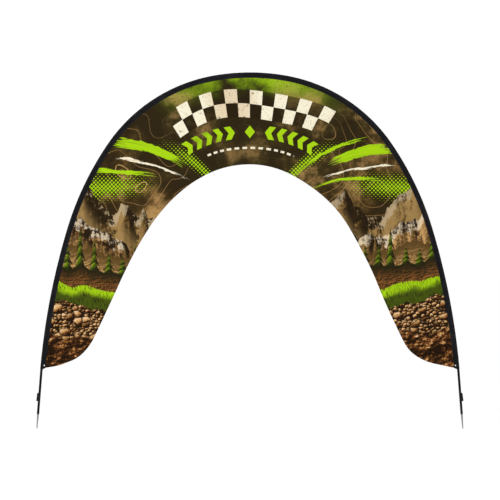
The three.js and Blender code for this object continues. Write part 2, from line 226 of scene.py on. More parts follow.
def panel_grid():
    """The cloth's middle surface, its half thickness and its place on the arch."""
    along = np.linspace(-HEM_LENGTH, HEM_LENGTH, PANEL_ROWS + 1)
    side, reach = np.where(along < 0, -1.0, 1.0), np.abs(along)
    start = side * read_table(CROSS_LINE_STARTS, reach, eased=False)
    hem_point, hem_inward, _ = walk(HEM_ARCS, HEM_CROWN_HEIGHT, along)
    sideways = side * read_table(HEM_SIDEWAYS, reach)
    free_edge = hem_point + hem_inward * sideways[:, None]
    hem_top = free_edge - hem_inward * HEM_WIDTH
    outer_point, outer_inward, _ = walk(OUTER_ARCS, CROWN_HEIGHT, start)
    seam = outer_point + outer_inward * SEAM_INSET
    held = np.minimum(SEAM_ALLOWANCE / np.linalg.norm(hem_top - seam, axis=1), SEAM_SHARE_LIMIT)

    held = held[:, None]
    shares = np.linspace(0, 1, PANEL_COLUMNS + 1)
    across = np.concatenate([held * (0, 0.5), held + (1 - held) * shares], 1)
    middle = seam[:, None] + (hem_top - seam)[:, None] * across[:, :, None]
    depths, hem_shares = np.array(HEM_PROFILE).T
    hem = hem_top[:, None] + hem_inward[:, None] * depths[None, :, None]
    flat = np.concatenate([middle, hem], 1)

    slack = np.concatenate([[0, 0], shares**2, np.ones(len(depths))])
    forward = -slack * read_table(HEM_FORWARD, along)[:, None]
    taper = ease(HEM_FLAT_END, HEM_FLAT_END + HEM_TAPER, HEM_LENGTH - reach)
    hem_half = PANEL_HALF + (HEM_HALF - PANEL_HALF) * taper
    half = np.full(flat.shape[:2], PANEL_HALF)
    half[:, -len(depths):] = hem_half[:, None] * hem_shares
    share_across = np.concatenate([[0, 0], shares, np.ones(len(depths))])
    run, depth = place_on_arch(flat, np.repeat(start[:, None], flat.shape[1], 1))
    return along, flat, forward, half, run, depth, np.broadcast_to(share_across, run.shape)


def smooth_piece(name, points, faces):
    """A smooth-shaded piece from its points and faces."""
    mesh = bpy.data.meshes.new(name)
    mesh.from_pydata(points.tolist(), [], faces)
    mesh.polygons.foreach_set("use_smooth", np.ones(len(faces), bool))
    mesh.update()
    return show(name, mesh)


def closed_sheet(name, front, back):
    """A closed mesh between two grids of points, with its rim faces last."""
    rows, columns = front.shape[:2]
    number = np.arange(rows * columns).reshape(rows, columns)
    other = number + rows * columns

    def quads(a, b, c, d):
        return np.stack([x.ravel() for x in (a, b, c, d)], 1)

    face = quads(number[:-1, :-1], number[1:, :-1], number[1:, 1:], number[:-1, 1:])
    rear = quads(other[:-1, :-1], other[:-1, 1:], other[1:, 1:], other[1:, :-1])
    rims = [
        quads(number[:-1, 0], other[:-1, 0], other[1:, 0], number[1:, 0]),
        quads(number[:-1, -1], number[1:, -1], other[1:, -1], other[:-1, -1]),
        quads(number[0, :-1], number[0, 1:], other[0, 1:], other[0, :-1]),
        quads(number[-1, :-1], other[-1, :-1], other[-1, 1:], number[-1, 1:]),
    ]
    points = np.concatenate([front.reshape(-1, 3), back.reshape(-1, 3)])
    faces = np.concatenate([face, rear, *rims])
    a, b, c = (points[faces[:, k]] for k in (0, 1, 2))
    d = points[faces[:, 3]]
    volume = (a * np.cross(b, c)).sum() + (a * np.cross(c, d)).sum()
    if volume < 0:
        faces = faces[:, ::-1]
    return smooth_piece(name, points, faces.tolist())


LEAST_COLUMN = 0.0004  # no column of faces is laid out narrower than this
RIM_SHARE = 0.004
STRIP_GAP = 0.002
STRIPS_SHARE = 0.99
END_RIM_MARGIN = 0.02
END_RIM_WIDTH = 0.45
END_RIM_GAP = 0.003
END_RIM_HEIGHT = 0.005


def lay_out_for_baking(piece, front, strips):
    """A flat layout of a closed sheet's faces: both faces are laid side by side, and cut
    across into strips of equal length that lie one above another, under a narrow band for
    the rims at the sheet's two ends."""
    rows, columns = front.shape[:2]
    section = front[rows // 4]
    steps = np.maximum(np.linalg.norm(np.diff(section, axis=0), axis=1), LEAST_COLUMN)
    rim = max(1.5 * LEAST_COLUMN, steps.sum() * RIM_SHARE)
    across = np.concatenate([[0], np.cumsum(steps)])
    turn = 2 * (across[-1] + rim)
    share = {0: across / turn, 1: 1 - (across + rim) / turn}

    # Each face corner's side, row and column in the grid, and the strip that it is laid in.
    # A rib is a row of faces across the sheet. After the faces of the two sides come the
    # rims of the long edges, and last the caps, which are the rims of the two ends.
    vertex = np.empty(len(piece.data.loops), np.int32)
    piece.data.loops.foreach_get("vertex_index", vertex)
    is_rear = vertex >= rows * columns
    row, column = vertex % (rows * columns) // columns, vertex % columns
    face = np.arange(len(vertex)) // 4
    per_side, ribs = (rows - 1) * (columns - 1), rows - 1
    first_rim, caps = 2 * per_side, 2 * per_side + 2 * ribs
    rib = np.where(face < first_rim, face % per_side // (columns - 1), (face - first_rim) % ribs)
    strip = rib * strips // ribs

    u = (row * strips - strip * ribs) / ribs
    v = np.where(is_rear, share[1][column], share[0][column])
    v = np.where((face >= first_rim) & (face < first_rim + ribs) & ~is_rear & (column == 0), 1.0, v)
    v = (strip + STRIP_GAP + (1 - 2 * STRIP_GAP) * v) / strips * STRIPS_SHARE
    in_cap, in_second_cap = face >= caps, face >= caps + columns - 1
    cap_u = END_RIM_MARGIN + END_RIM_WIDTH * column / (columns - 1) + 0.5 * in_second_cap
    u = np.where(in_cap, cap_u, STRIP_GAP / 2 + (1 - STRIP_GAP) * u)
    v = np.where(in_cap, STRIPS_SHARE + END_RIM_GAP + END_RIM_HEIGHT * is_rear, v)
    layer = piece.data.uv_layers.new(name="OFBake")
    layer.uv.foreach_set("vector", np.stack([u, v], -1).astype(np.float32).ravel())


def set_point_vectors(piece, name, vectors):
    """Gives each point of a piece a vector of its own, for its material to read."""
    attribute = piece.data.attributes.new(name, "FLOAT_VECTOR", "POINT")
    attribute.data.foreach_set("vector", np.asarray(vectors, np.float32).ravel())


SEAM_PUCKER = 0.0009
PUCKER_REACH = 0.045  # how far puckers run out from a seam
HEM_PUCKER = 0.0008
CROSS_RIPPLE = 0.0016
FOOT_CREASE = 0.0022
# Distances down the arch between which the creases come up, and die away again.
CREASES_RISE = (2.5, 3.6)
CREASES_FADE = (3.75, 3.95)

along, flat, forward, half, cloth_run, cloth_depth, cloth_share = panel_grid()
far_run = np.abs(cloth_run)
puckers = SEAM_PUCKER * wave(cloth_run, (0.061, 0.083, 0.047), seed=3)
ripples = puckers * np.exp(-(cloth_depth - SLEEVE_WIDTH) / PUCKER_REACH)
hem_puckers = HEM_PUCKER * wave(along[:, None], (0.052, 0.071, 0.094), seed=5)
ripples += hem_puckers * ease(0.75, 1.0, cloth_share)
cross_ripples = CROSS_RIPPLE * wave(cloth_run + 0.22 * cloth_depth, (0.31, 0.43, 0.27), seed=7)
ripples += cross_ripples * np.sin(pi * cloth_share)
creases = FOOT_CREASE * wave(far_run * 0.35 + cloth_depth, (0.17, 0.23, 0.12), seed=9)
ripples += creases * ease(*CREASES_RISE, far_run) * (1 - ease(*CREASES_FADE, far_run))
clear_of_ends = ease(0.10, 0.35, HEM_LENGTH - np.abs(along))[:, None]
clear_of_sleeve = ease(SLEEVE_WIDTH + 0.003, SLEEVE_WIDTH + 0.020, cloth_depth)
middle_y = forward + ripples * clear_of_sleeve * clear_of_ends


def with_y(flat, y):
    """Points in the frame from points in the arch's plane and their y."""
    return np.stack([flat[..., 0], y, flat[..., 1]], -1)


panel = closed_sheet("arch_print", with_y(flat, middle_y - half), with_y(flat, middle_y + half))
cloth_place = np.stack([cloth_run, cloth_depth, cloth_share], -1)
set_point_vectors(panel, "arch_place", np.concatenate([cloth_place, cloth_place]))
lay_out_for_baking(panel, with_y(flat, middle_y - half), PANEL_STRIPS)


# ---- Printed panel: the print ----
# Dye that has gone into the knit: a worn chequered ribbon over an earth-brown ground,
# brushed bands and height lines on the shoulders, then mountains, conifers, grass, stones
# and churned earth down the legs. It shows through on the back, a little paler.

class Field:
    """A value, vector or colour that changes over a surface, held as a node's output, so
    that fields add, multiply and compare as numbers do."""

    def __init__(self, tree, output):
        self.tree = tree
        self.output = output

    def math(self, operation, *others):
        return node_field(self.tree, "ShaderNodeMath", (self, *others), operation=operation)

    def __add__(self, other):
        return self.math("ADD", other)

    def __sub__(self, other):
        return self.math("SUBTRACT", other)

    def __rsub__(self, other):
        return (self * -1) + other

    def __mul__(self, other):
        return self.math("MULTIPLY", other)

    def __truediv__(self, other):
        return self.math("DIVIDE", other)

    def __gt__(self, other):
        return self.math("GREATER_THAN", other)

    def __abs__(self):
        return self.math("ABSOLUTE")

    __radd__ = __add__
    __rmul__ = __mul__

    def fraction(self):
        return self.math("FRACT")

    def cell(self):
        return self.math("FLOOR")

    def rise(self, low, high):
        """0 where the field is below low, 1 where it is above high, smooth between."""
        inputs = {"Value": self, "From Min": low, "From Max": high}
        return node_field(
            self.tree, "ShaderNodeMapRange", inputs, interpolation_type="SMOOTHSTEP", clamp=True
        )


def node_field(tree, kind, inputs, output=0, **settings):
    """Adds a node with these settings and inputs, and gives one of its outputs as a field."""
    node = tree.nodes.new(kind)
    for name, value in settings.items():
        setattr(node, name, value)
    named = inputs.items() if isinstance(inputs, dict) else enumerate(inputs)
    for name, value in named:
        if isinstance(value, Field):
            tree.links.new(value.output, node.inputs[name])
        elif value is not None:
            node.inputs[name].default_value = value
    return Field(tree, node.outputs[output])


def tree_of(*values):
    """The node tree that the first field among these values belongs to."""
    return next(value.tree for value in values if isinstance(value, Field))


def vector(x, y, z=0.0):
    """A vector field from its components."""
    return node_field(tree_of(x, y, z), "ShaderNodeCombineXYZ", (x, y, z))


def parts(place):
    """The three components of a vector field."""
    node = place.tree.nodes.new("ShaderNodeSeparateXYZ")
    place.tree.links.new(place.output, node.inputs[0])
    return [Field(place.tree, output) for output in node.outputs]


def noise(place, scale, detail=2.0, roughness=0.5):
    """Cloudy noise between 0 and 1, with lumps about as wide as 1 / scale."""
    inputs = {"Vector": place, "Scale": scale, "Detail": detail, "Roughness": roughness}
    return node_field(place.tree, "ShaderNodeTexNoise", inputs)


def profile_noise(place, scale, detail, seed):
    """Noise along one direction, for a hill's outline."""
    inputs = {"W": place + seed, "Scale": scale, "Detail": detail, "Roughness": 0.55}
    return node_field(place.tree, "ShaderNodeTexNoise", inputs, noise_dimensions="1D")


def cell_chance(x, y):
    """A random share for each whole-number cell."""
    return node_field(x.tree, "ShaderNodeTexWhiteNoise", {"Vector": vector(x, y)})


def paint(under, over, mask):
    """Lays one colour over another where a mask is 1."""
    inputs = {0: mask, 6: under, 7: over}
    tree = tree_of(mask, under, over)
    return node_field(tree, "ShaderNodeMix", inputs, output=2, data_type="RGBA")


def paint_steps(under, share, *steps):
    """Lays dyes over a colour one after another. Each step gives a dye, the two limits
    between which it comes up as a share rises, and its strength."""
    for over, low, high, strength in steps:
        under = paint(under, over, share.rise(low, high) * strength)
    return under


def dye(red, green, blue):
    """A colour from its 0 to 255 shares of red, green and blue."""
    shares = np.array([red, green, blue]) / 255
    linear = np.where(shares <= 0.04045, shares / 12.92, ((shares + 0.055) / 1.055) ** 2.4)
    return (*(float(share) for share in linear), 1.0)


def new_group(name, inputs=(), outputs=()):
    """A node group with named sockets, and its input fields by name."""
    group = bpy.data.node_groups.new(name, "ShaderNodeTree")
    for label, kind in outputs:
        group.interface.new_socket(label, in_out="OUTPUT", socket_type=kind)
    for label, kind in inputs:
        group.interface.new_socket(label, in_out="INPUT", socket_type=kind)
    entry = group.nodes.new("NodeGroupInput")
    group.nodes.new("NodeGroupOutput")
    return group, {output.name: Field(group, output) for output in entry.outputs if output.name}


def finish_group(group, **results):
    """Joins the results to the group's outputs of their names."""
    exit_node = next(node for node in group.nodes if node.bl_idname == "NodeGroupOutput")
    for name, result in results.items():
        group.links.new(result.output, exit_node.inputs[name])


CREAM = dye(234, 226, 200)
LIME = dye(158, 200, 16)
DARK_LIME = dye(96, 122, 8)
CROWN_BROWN = dye(68, 57, 26)
SHADOW_BROWN = dye(34, 24, 8)
LEG_BROWN = dye(86, 63, 28)
HAZE = dye(150, 120, 72)
SAND = dye(190, 148, 92)
RUST = dye(140, 88, 42)
EARTH = dye(64, 36, 12)
WET_BROWN = dye(30, 15, 4)
PINE = dye(32, 29, 10)
GLINT = dye(232, 192, 146)

print_group, _ = new_group(
    "printed design", outputs=(("Colour", "NodeSocketColor"), ("Ink", "NodeSocketFloat"))
)
arch_place = node_field(
    print_group, "ShaderNodeAttribute", (), output="Vector", attribute_name="arch_place"
)
run, depth, _ = parts(arch_place)
x, _, z = parts(node_field(print_group, "ShaderNodeTexCoord", (), output="Object"))
ground_place = vector(x, z)
reach = abs(run)
hand_sign = run.math("SIGN")


def lit_relief(x, z, scale, detail, roughness, gain):
    """How brightly a lumpy surface is lit from its upper left, from 0 to 1."""
    step = 0.09 / scale
    here = noise(vector(x, z), scale, detail, roughness)
    beside = noise(vector(x - step, z + step * 1.3), scale, detail, roughness)
    return (here - beside) * gain + 0.5


# The ground: clouded brown, warmer on the legs, with a lime glow at the crown, grit and
# long faint scratches.
clouds = noise(ground_place, 1.7, 6, 0.62)
grit = noise(ground_place, 42, 3, 0.7)
worn_edge = noise(ground_place, 24, 5, 0.75)
scratches = noise(vector(x * 6 + z * 1.5, z * 70 - x * 20), 1.0, 2)
ground = paint(CROWN_BROWN, LEG_BROWN, reach.rise(0.9, 2.3) * 0.85)
ground = paint(ground, SHADOW_BROWN, clouds.rise(0.60, 0.44) * 0.85)
ground = paint(ground, SAND, clouds.rise(0.51, 0.66) * (0.40 + reach.rise(0.3, 1.2) * 0.26))
glow = depth.rise(0.30, 0.04) * (clouds + 0.06).rise(0.40, 0.62) * reach.rise(1.15, 0.10)
ground = paint(ground, LIME, glow * 0.75)
ground = paint(ground, SAND, scratches.rise(0.69, 0.77) * 0.25)
colour = paint(ground, SHADOW_BROWN, grit.rise(0.54, 0.66) * 0.55)

HEIGHT_STEPS = 19
SLOPE_STEP = 0.01


def height_at(x, z):
    """The height of an imagined hilly country, in steps between its height lines."""
    return noise(vector(x, z), 1.0, 2.2, 0.45) * HEIGHT_STEPS


def length_of(place):
    """The length of a vector field."""
    return node_field(
        place.tree, "ShaderNodeVectorMath", (place,), output="Value", operation="LENGTH"
    )


# Height lines, as on a walking map, over the shoulders; each fifth one is stronger. The
# distance to a line is the height left to it over the steepness there.
level = height_at(x, z)
across_slope = height_at(x + SLOPE_STEP, z) - level
up_slope = height_at(x, z + SLOPE_STEP) - level
steepness = length_of(vector(across_slope, up_slope)) / SLOPE_STEP
from_line = abs(level.fraction() - 0.5) / steepness
from_strong_line = abs((level / 5).fraction() - 0.5) * 5 / steepness
lines = from_line.rise(0.0034, 0.0022) * 0.4 + from_strong_line.rise(0.0060, 0.0045) * 0.5
colour = paint(colour, SAND, lines * reach.rise(0.85, 1.5) * worn_edge.rise(0.30, 0.50))

# Dots that grow and shrink, in two fields on each shoulder.
DOT_PITCH = 0.040
slant = reach + 0.62 * (depth - 0.45)
across_dots, up_dots = (x + z) / DOT_PITCH, (x - z) / DOT_PITCH
from_dot = length_of(vector(across_dots.fraction() - 0.5, up_dots.fraction() - 0.5))
upper_dots = slant.rise(1.00, 1.22) * slant.rise(1.42, 1.20) * depth.rise(0.25, 0.75)
lower_dots = slant.rise(1.62, 1.92) * slant.rise(2.16, 1.90) * depth.rise(0.80, 0.25)
dots = ((upper_dots + lower_dots) * 0.44 - from_dot).rise(0.0, 0.03)
colour = paint(colour, LIME, dots * worn_edge.rise(0.28, 0.36))

# Slanted bands, brushed on so that they break up towards their ends. The arch's side,
# where each band's middle lies, its width, where it starts and stops in depth, its dye.
BRUSHED_BANDS = (
    (-1, 1.36, 0.130, 0.06, 0.80, LIME),
    (-1, 1.56, 0.034, 0.16, 0.96, CREAM),
    (-1, 1.70, 0.062, 0.02, 0.62, LIME),
    (1, 1.27, 0.058, 0.22, 0.98, LIME),
    (1, 1.45, 0.140, 0.02, 0.70, LIME),
    (1, 1.64, 0.032, 0.10, 0.90, CREAM),
    (1, 1.78, 0.050, 0.30, 0.98, LIME),
)
ragged = noise(vector(slant * 9, depth * 3.5, hand_sign), 2.0, 4, 0.7) - 0.5
bristles = noise(vector(slant * 75, depth * 1.9, hand_sign), 1.0, 3, 0.6)
for hand_side, middle, width, first, last, ink in BRUSHED_BANDS:
    bow = (depth * 5 + middle * 9).math("SINE") * 0.018
    edge = width / 2 - abs(slant + bow + ragged * 0.09 - middle)
    ends = (depth + ragged * 0.3).rise(first - 0.1, first + 0.22)
    ends = ends * (depth + ragged * 0.3).rise(last, last - 0.40)
    loaded = (bristles - (1 - ends) * 0.46).rise(0.18, 0.22)
    body = edge.rise(0.0, 0.008) * loaded * ((run * hand_side) > 0)
    streaked = paint(ink, DARK_LIME if ink is LIME else SAND, bristles.rise(0.52, 0.70) * 0.65)
    colour = paint(colour, streaked, body * ends.rise(0.0, 0.08))

# The ribbon of squares waves over the crown, and its squares drop out towards its ends.
SQUARE = 0.142
RIBBON_DEPTH = 0.315
RIBBON_SWING = 0.020
ribbon_turn = run * 4.2
ribbon_depth = depth - RIBBON_DEPTH - ribbon_turn.math("SINE") * RIBBON_SWING
across_square, down_square = (run / SQUARE).cell(), (ribbon_depth / SQUARE).cell()
in_ribbon = (SQUARE - abs(ribbon_depth)).rise(0.0, 0.006)
square_parity = ((across_square + down_square) * 0.5).fraction() > 0.25
square_reach = abs((across_square + 0.5) * SQUARE)
kept_square = cell_chance(across_square, down_square) > square_reach.rise(0.66, 1.14)
wear = worn_edge.rise(0.34, 0.41) * noise(ground_place, 75, 2, 0.6).rise(0.30, 0.38)
ribbon_shade = (ribbon_turn + 0.9).math("COSINE").rise(0.0, 1.0)
cream_square = paint(CREAM, SAND, ribbon_shade * 0.42)
colour = paint(colour, SHADOW_BROWN, in_ribbon * kept_square * 0.70)
colour = paint(colour, cream_square, in_ribbon * square_parity * kept_square * wear)

# Chevrons under the ribbon point to the crown from both sides.
CHEVRON_DEPTH = 0.595
CHEVRON_PITCH = 0.17
CHEVRON_HALF = 0.068
off_middle = abs(depth - CHEVRON_DEPTH)
chevron_run = reach - off_middle * 0.85
chevron = abs((chevron_run / CHEVRON_PITCH).fraction() - 0.5).rise(0.27, 0.24)
chevron = chevron * (CHEVRON_HALF - off_middle).rise(0.0, 0.005)
chevron = chevron * chevron_run.rise(0.165, 0.172) * chevron_run.rise(1.026, 1.018)
chevron = chevron * (worn_edge + 0.12 - chevron_run * 0.12).rise(0.36, 0.42)
diamond = (0.066 - reach * 0.9 - off_middle).rise(0.0, 0.005)
chevron_dye = paint(LIME, DARK_LIME, clouds.rise(0.48, 0.62) * 0.6)
colour = paint(colour, chevron_dye, (chevron + diamond).rise(0.3, 0.7))

# A dashed trail along the crown of the doorway.
TRAIL_DEPTH = 0.755
TRAIL_HALF = 0.0125
DASH_PITCH = 0.125
dash = (run / DASH_PITCH).fraction()
in_trail = (TRAIL_HALF - abs(depth - TRAIL_DEPTH)).rise(0.0, 0.004) * reach.rise(0.80, 0.70)
colour = paint(colour, CREAM, dash.rise(0.05, 0.10) * dash.rise(0.68, 0.63) * in_trail * wear)


def land(level, rough, scale, detail, seed, lean):
    """How far a spot lies under a hill's outline. The outline runs about a level, with
    humps as high as rough, and rises towards the sleeve by lean."""
    outline = (profile_noise(x, scale, detail, seed) - 0.5) * rough
    return outline + level + (abs(x) - 1.6) * lean + hand_sign * 0.03 - z


def cells_at(place, scale, unevenness, output="Color", **settings):
    """A place cut up into uneven cells about as wide as 1 / scale, as one of their values."""
    inputs = {"Vector": place, "Scale": scale, "Randomness": unevenness}
    return node_field(place.tree, "ShaderNodeTexVoronoi", inputs, output=output, **settings)


PEAK_SCALE = 2.3
FLANK_STEP = 0.04


def mountain_range(under, level, rough, seed, dark, light, snow):
    """Lays a range of rocky mountains over a colour. A flank is lit where the outline
    above it rises to the right, as from the left, and pales into haze towards its foot."""
    below = land(level, rough, scale=PEAK_SCALE, detail=5, seed=seed, lean=0.30)
    facet_tone, facet_light, _ = parts(cells_at(vector(x * 1.5 - z * 0.6, z), 8.0, 1.0))
    flank = lit_relief(x * 1.2 + z * 0.4, z * 0.65, 8.0, 5, 0.62, 4.8)
    rock = lit_relief(x, z, 34.0, 4, 0.7, 2.2)
    spur_x = x + (flank - 0.5) * 0.05
    rising = profile_noise(spur_x + FLANK_STEP, PEAK_SCALE, 3, seed)
    rising = rising - profile_noise(spur_x - FLANK_STEP, PEAK_SCALE, 3, seed)
    light_share = flank * 0.42 + facet_tone * 0.20 + rock * 0.36 + rising * 2.0 - 0.03
    stone = paint(dark, light, light_share.rise(0.34, 0.74))
    stone = paint(SHADOW_BROWN, stone, light_share.rise(0.22, 0.50))
    snow_depth = 0.11 + (worn_edge - 0.5) * 0.14 + (facet_light - 0.5) * 0.06
    snow_cover = (snow_depth - below).rise(0.0, 0.015) * light_share.rise(0.34, 0.50)
    stone = paint(stone, CREAM, snow_cover * snow)
    stone = paint(stone, light, below.rise(0.14, 0.46) * 0.75)
    return paint(under, stone, below.rise(0.0, 0.006))


def forest(under, level, rough, seed, pitch, height, needles, lit_needles, floor_dye):
    """Lays a ridge with a row of conifers along it, lit from the left, and litter on its
    floor, over a colour."""
    below = land(level, rough, scale=2.0, detail=3, seed=seed, lean=0.12)
    chance = cell_chance((x / pitch).cell(), seed)
    tall = height * (0.42 + chance * 0.75)
    up_tree = (below + tall) / tall
    from_trunk = (x / pitch).fraction() - 0.5 + (chance - 0.5) * 0.16
    off_trunk = abs(from_trunk)
    tiers = (up_tree * 4.0 - off_trunk * 1.4).fraction()
    half_width = up_tree * 0.50 * (0.42 + tiers * 0.58) + (worn_edge - 0.5) * 0.10
    trees = (half_width - off_trunk).rise(0.0, 0.05) * up_tree.rise(0.0, 0.02)
    mask = (below.rise(0.0, 0.006) + trees).rise(0.2, 0.8)
    leaf = lit_relief(x, z, 60.0, 3, 0.7, 2.5)
    litter = lit_relief(x * 0.8, z * 2.0, 16.0, 5, 0.66, 2.8)
    lit_side = from_trunk.rise(0.22, -0.22) * tiers.rise(1.0, 0.1) * leaf.rise(0.30, 0.75)
    in_wood = paint(needles, lit_needles, lit_side * below.rise(0.02, -0.04))
    strewn = below.rise(0.0, 0.20) * (litter.rise(0.42, 0.66) * 0.9 + 0.1)
    return paint(under, paint(in_wood, floor_dye, strewn), mask)


# Two ranges of mountains, and two rows of conifers before them, from far to near.
colour = mountain_range(
    colour, level=2.34, rough=0.80, seed=5.0, dark=LEG_BROWN, light=HAZE, snow=0.20
)
colour = mountain_range(
    colour, level=2.04, rough=0.62, seed=11.0, dark=EARTH, light=SAND, snow=0.45
)
colour = forest(
    colour, level=1.80, rough=0.22, seed=23.0, pitch=0.076, height=0.18,
    needles=LEG_BROWN, lit_needles=SAND, floor_dye=SAND,
)
colour = forest(
    colour, level=1.62, rough=0.24, seed=31.0, pitch=0.135, height=0.36,
    needles=PINE, lit_needles=LIME, floor_dye=RUST,
)

# A lime field of standing grass, shaded towards its foot.
blades = noise(vector(x * 150 + z * 30, z * 16), 1.0, 3, 0.65)
meadow = land(level=1.43, rough=0.22, scale=1.7, detail=2, seed=47.0, lean=0.24)
meadow = meadow + (blades - 0.5) * 0.07
meadow_colour = paint(DARK_LIME, LIME, blades.rise(0.40, 0.52))
meadow_colour = paint(meadow_colour, PINE, blades.rise(0.46, 0.36) * 0.8)
meadow_colour = paint(meadow_colour, PINE, (meadow + (clouds - 0.5) * 0.3).rise(0.03, 0.12) * 0.88)
colour = paint(colour, meadow_colour, meadow.rise(0.0, 0.005))


def stone_bed(under, below, size, left_out):
    """Lays rounded stones, lit from the upper left, over a colour, but leaves out a share."""
    bent_x = x / size + (worn_edge - 0.5) * 0.10
    bent_z = z / size * 1.3 + (grit - 0.5) * 0.10
    place = vector(bent_x, bent_z)
    rim = cells_at(place, 1.0, 0.9, output="Distance", feature="DISTANCE_TO_EDGE")
    chance, tone, _ = parts(cells_at(place, 1.0, 0.9))
    middle_x, middle_z, _ = parts(cells_at(place, 1.0, 0.9, output="Position"))
    facing_light = (middle_x - bent_x) * 0.55 + (bent_z - middle_z) * 0.85
    light_share = facing_light + (grit - 0.5) * 0.9 + (tone - 0.5) * 0.35 + 0.42
    stone = paint_steps(
        WET_BROWN, light_share,
        (RUST, 0.16, 0.52, 1.0), (SAND, 0.40, 0.66, 1.0), (GLINT, 0.64, 0.94, 0.85),
    )
    stone = paint(WET_BROWN, stone, rim.rise(0.02, 0.14))
    kept = below.rise(0.0, 0.01) * (chance > left_out) * rim.rise(0.0, 0.02)
    return paint(under, stone, kept)


# A slope of small stones with large ones lying on it.
slope = land(level=1.24, rough=0.28, scale=2.2, detail=4, seed=63.0, lean=0.18)
slope = slope + (worn_edge - 0.5) * 0.05
colour = paint(colour, SHADOW_BROWN, slope.rise(0.0, 0.008))
colour = stone_bed(colour, slope, size=0.040, left_out=0.08)
colour = stone_bed(colour, slope - 0.03, size=0.094, left_out=0.52)

# Churned wet earth with small glints at the foot.
earth = land(level=0.96, rough=0.28, scale=2.6, detail=4, seed=85.0, lean=0.05)
earth = earth + (worn_edge - 0.5) * 0.08
clods = lit_relief(x, z * 1.2, 6.5, 6, 0.62, 3.8) - earth.rise(0.0, 0.16) * 0.08
earth_colour = paint_steps(
    WET_BROWN, clods,
    (EARTH, 0.30, 0.46, 1.0), (RUST, 0.50, 0.66, 0.9), (SAND, 0.66, 0.78, 0.85),
    (GLINT, 0.76, 0.88, grit.rise(0.46, 0.56)),
)
colour = paint(colour, earth_colour, earth.rise(0.0, 0.03))

# Flecks of bare ground over it all.
flecks = noise(ground_place, 30, 4, 0.8).rise(0.68, 0.72)
colour = paint(colour, SHADOW_BROWN, flecks * 0.5)
finish_group(print_group, Colour=colour, Ink=clouds)


# ---- Printed panel: the finish ----
# The knit is fine and matt, and scatters light softly; the gaps between its threads are darkened
# a little with painted shade. Ink on the front fills it a little; on the back the same print shows
# through paler.

# Thread heights, and how lit each spot of the threads is: 1 on their tops, 0 in the gaps between
# them, for painting shade into those gaps.
weave_group, weave_in = new_group(
    "cloth threads",
    inputs=(("Place", "NodeSocketVector"), ("Pitch", "NodeSocketFloat")),
    outputs=(("Height", "NodeSocketFloat"), ("Shade", "NodeSocketFloat")),
)
warp, weft, _ = parts(weave_in["Place"])
warp, weft = warp / weave_in["Pitch"], weft / weave_in["Pitch"]
over = ((warp.cell() + weft.cell()) * 0.5).fraction() > 0.25
warp_thread = abs((warp * pi).math("SINE"))
weft_thread = abs((weft * pi).math("SINE"))
thread_height = warp_thread * (0.35 + over * 0.65) + weft_thread * (1.0 - over * 0.65)
finish_group(weave_group, Height=thread_height * 0.7, Shade=thread_height.rise(0.2, 1.1))


def feed(shader, **fields):
    """Links fields to the shader's sockets of their names."""
    for label, field in fields.items():
        shader.id_data.links.new(field.output, shader.inputs[label.replace("_", " ")])


def raise_surface(shader, height, distance):
    """Feeds a height, in shares of a distance in metres, to the shader as a bump."""
    inputs = {"Height": height, "Distance": distance, "Strength": 1.0}
    feed(shader, Normal=node_field(shader.id_data, "ShaderNodeBump", inputs))


def spot_on(shader):
    """Where in the frame each spot of a material's surface is."""
    return node_field(shader.id_data, "ShaderNodeTexCoord", (), output="Object")


def place_group(shader, group, **inputs):
    """Puts a node group in a shader's material and gives its outputs by name."""
    placed = node_field(shader.id_data, "ShaderNodeGroup", inputs, node_tree=group)
    return {output.name: Field(placed.tree, output) for output in placed.output.node.outputs}


KNIT_PITCH = 0.0014
KNIT_RELIEF = 0.00012
SHOW_THROUGH = dye(168, 158, 140)
BLACK = dye(0, 0, 0)


def print_material(name, paleness):
    """The printed cloth, as pale as it is seen from one of its sides."""
    material, shader = new_material(
        name, Specular_IOR_Level=0.05, Sheen_Weight=0.02, Sheen_Roughness=0.6
    )
    cloth_x, _, cloth_z = parts(spot_on(shader))
    knit = place_group(shader, weave_group, Place=vector(cloth_x, cloth_z), Pitch=KNIT_PITCH)
    design = place_group(shader, print_group)
    colour = paint(design["Colour"], SHOW_THROUGH, paleness)
    # Painted shade: the gaps between the knit's threads are darkened a little.
    colour = paint(colour, BLACK, (1 - knit["Shade"]) * 0.10)
    feed(shader, Base_Color=colour, Roughness=0.74 + design["Ink"] * 0.16)
    raise_surface(shader, knit["Height"], distance=KNIT_RELIEF)
    return material


panel.data.materials.append(print_material("print_front", paleness=0.0))
panel.data.materials.append(print_material("print_back", paleness=0.16))
faces_per_side = PANEL_ROWS * (flat.shape[1] - 1)
sides = np.zeros(len(panel.data.polygons), np.int32)
sides[faces_per_side:2 * faces_per_side] = 1
panel.data.polygons.foreach_set("material_index", sides)
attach(panel, "root")
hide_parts("printed_panel")


# ---- Printed panel: the hem's stitching ----
# One row of black lockstitches holds the turned hem, just below its top fold. Each
# stitch lies in a small dip of the cloth and leans a little across the row.

STITCH_PITCH = 0.0044
STITCH_LENGTH = 0.0034
STITCH_RADIUS = 0.00034
STITCH_LEAN = 0.10
STITCH_SHOULDER = 0.28  # where a stitch reaches its full thickness, as a share of its length
HEM_STITCH_DEPTH = 0.0032
HEM_STITCH_START = 0.030


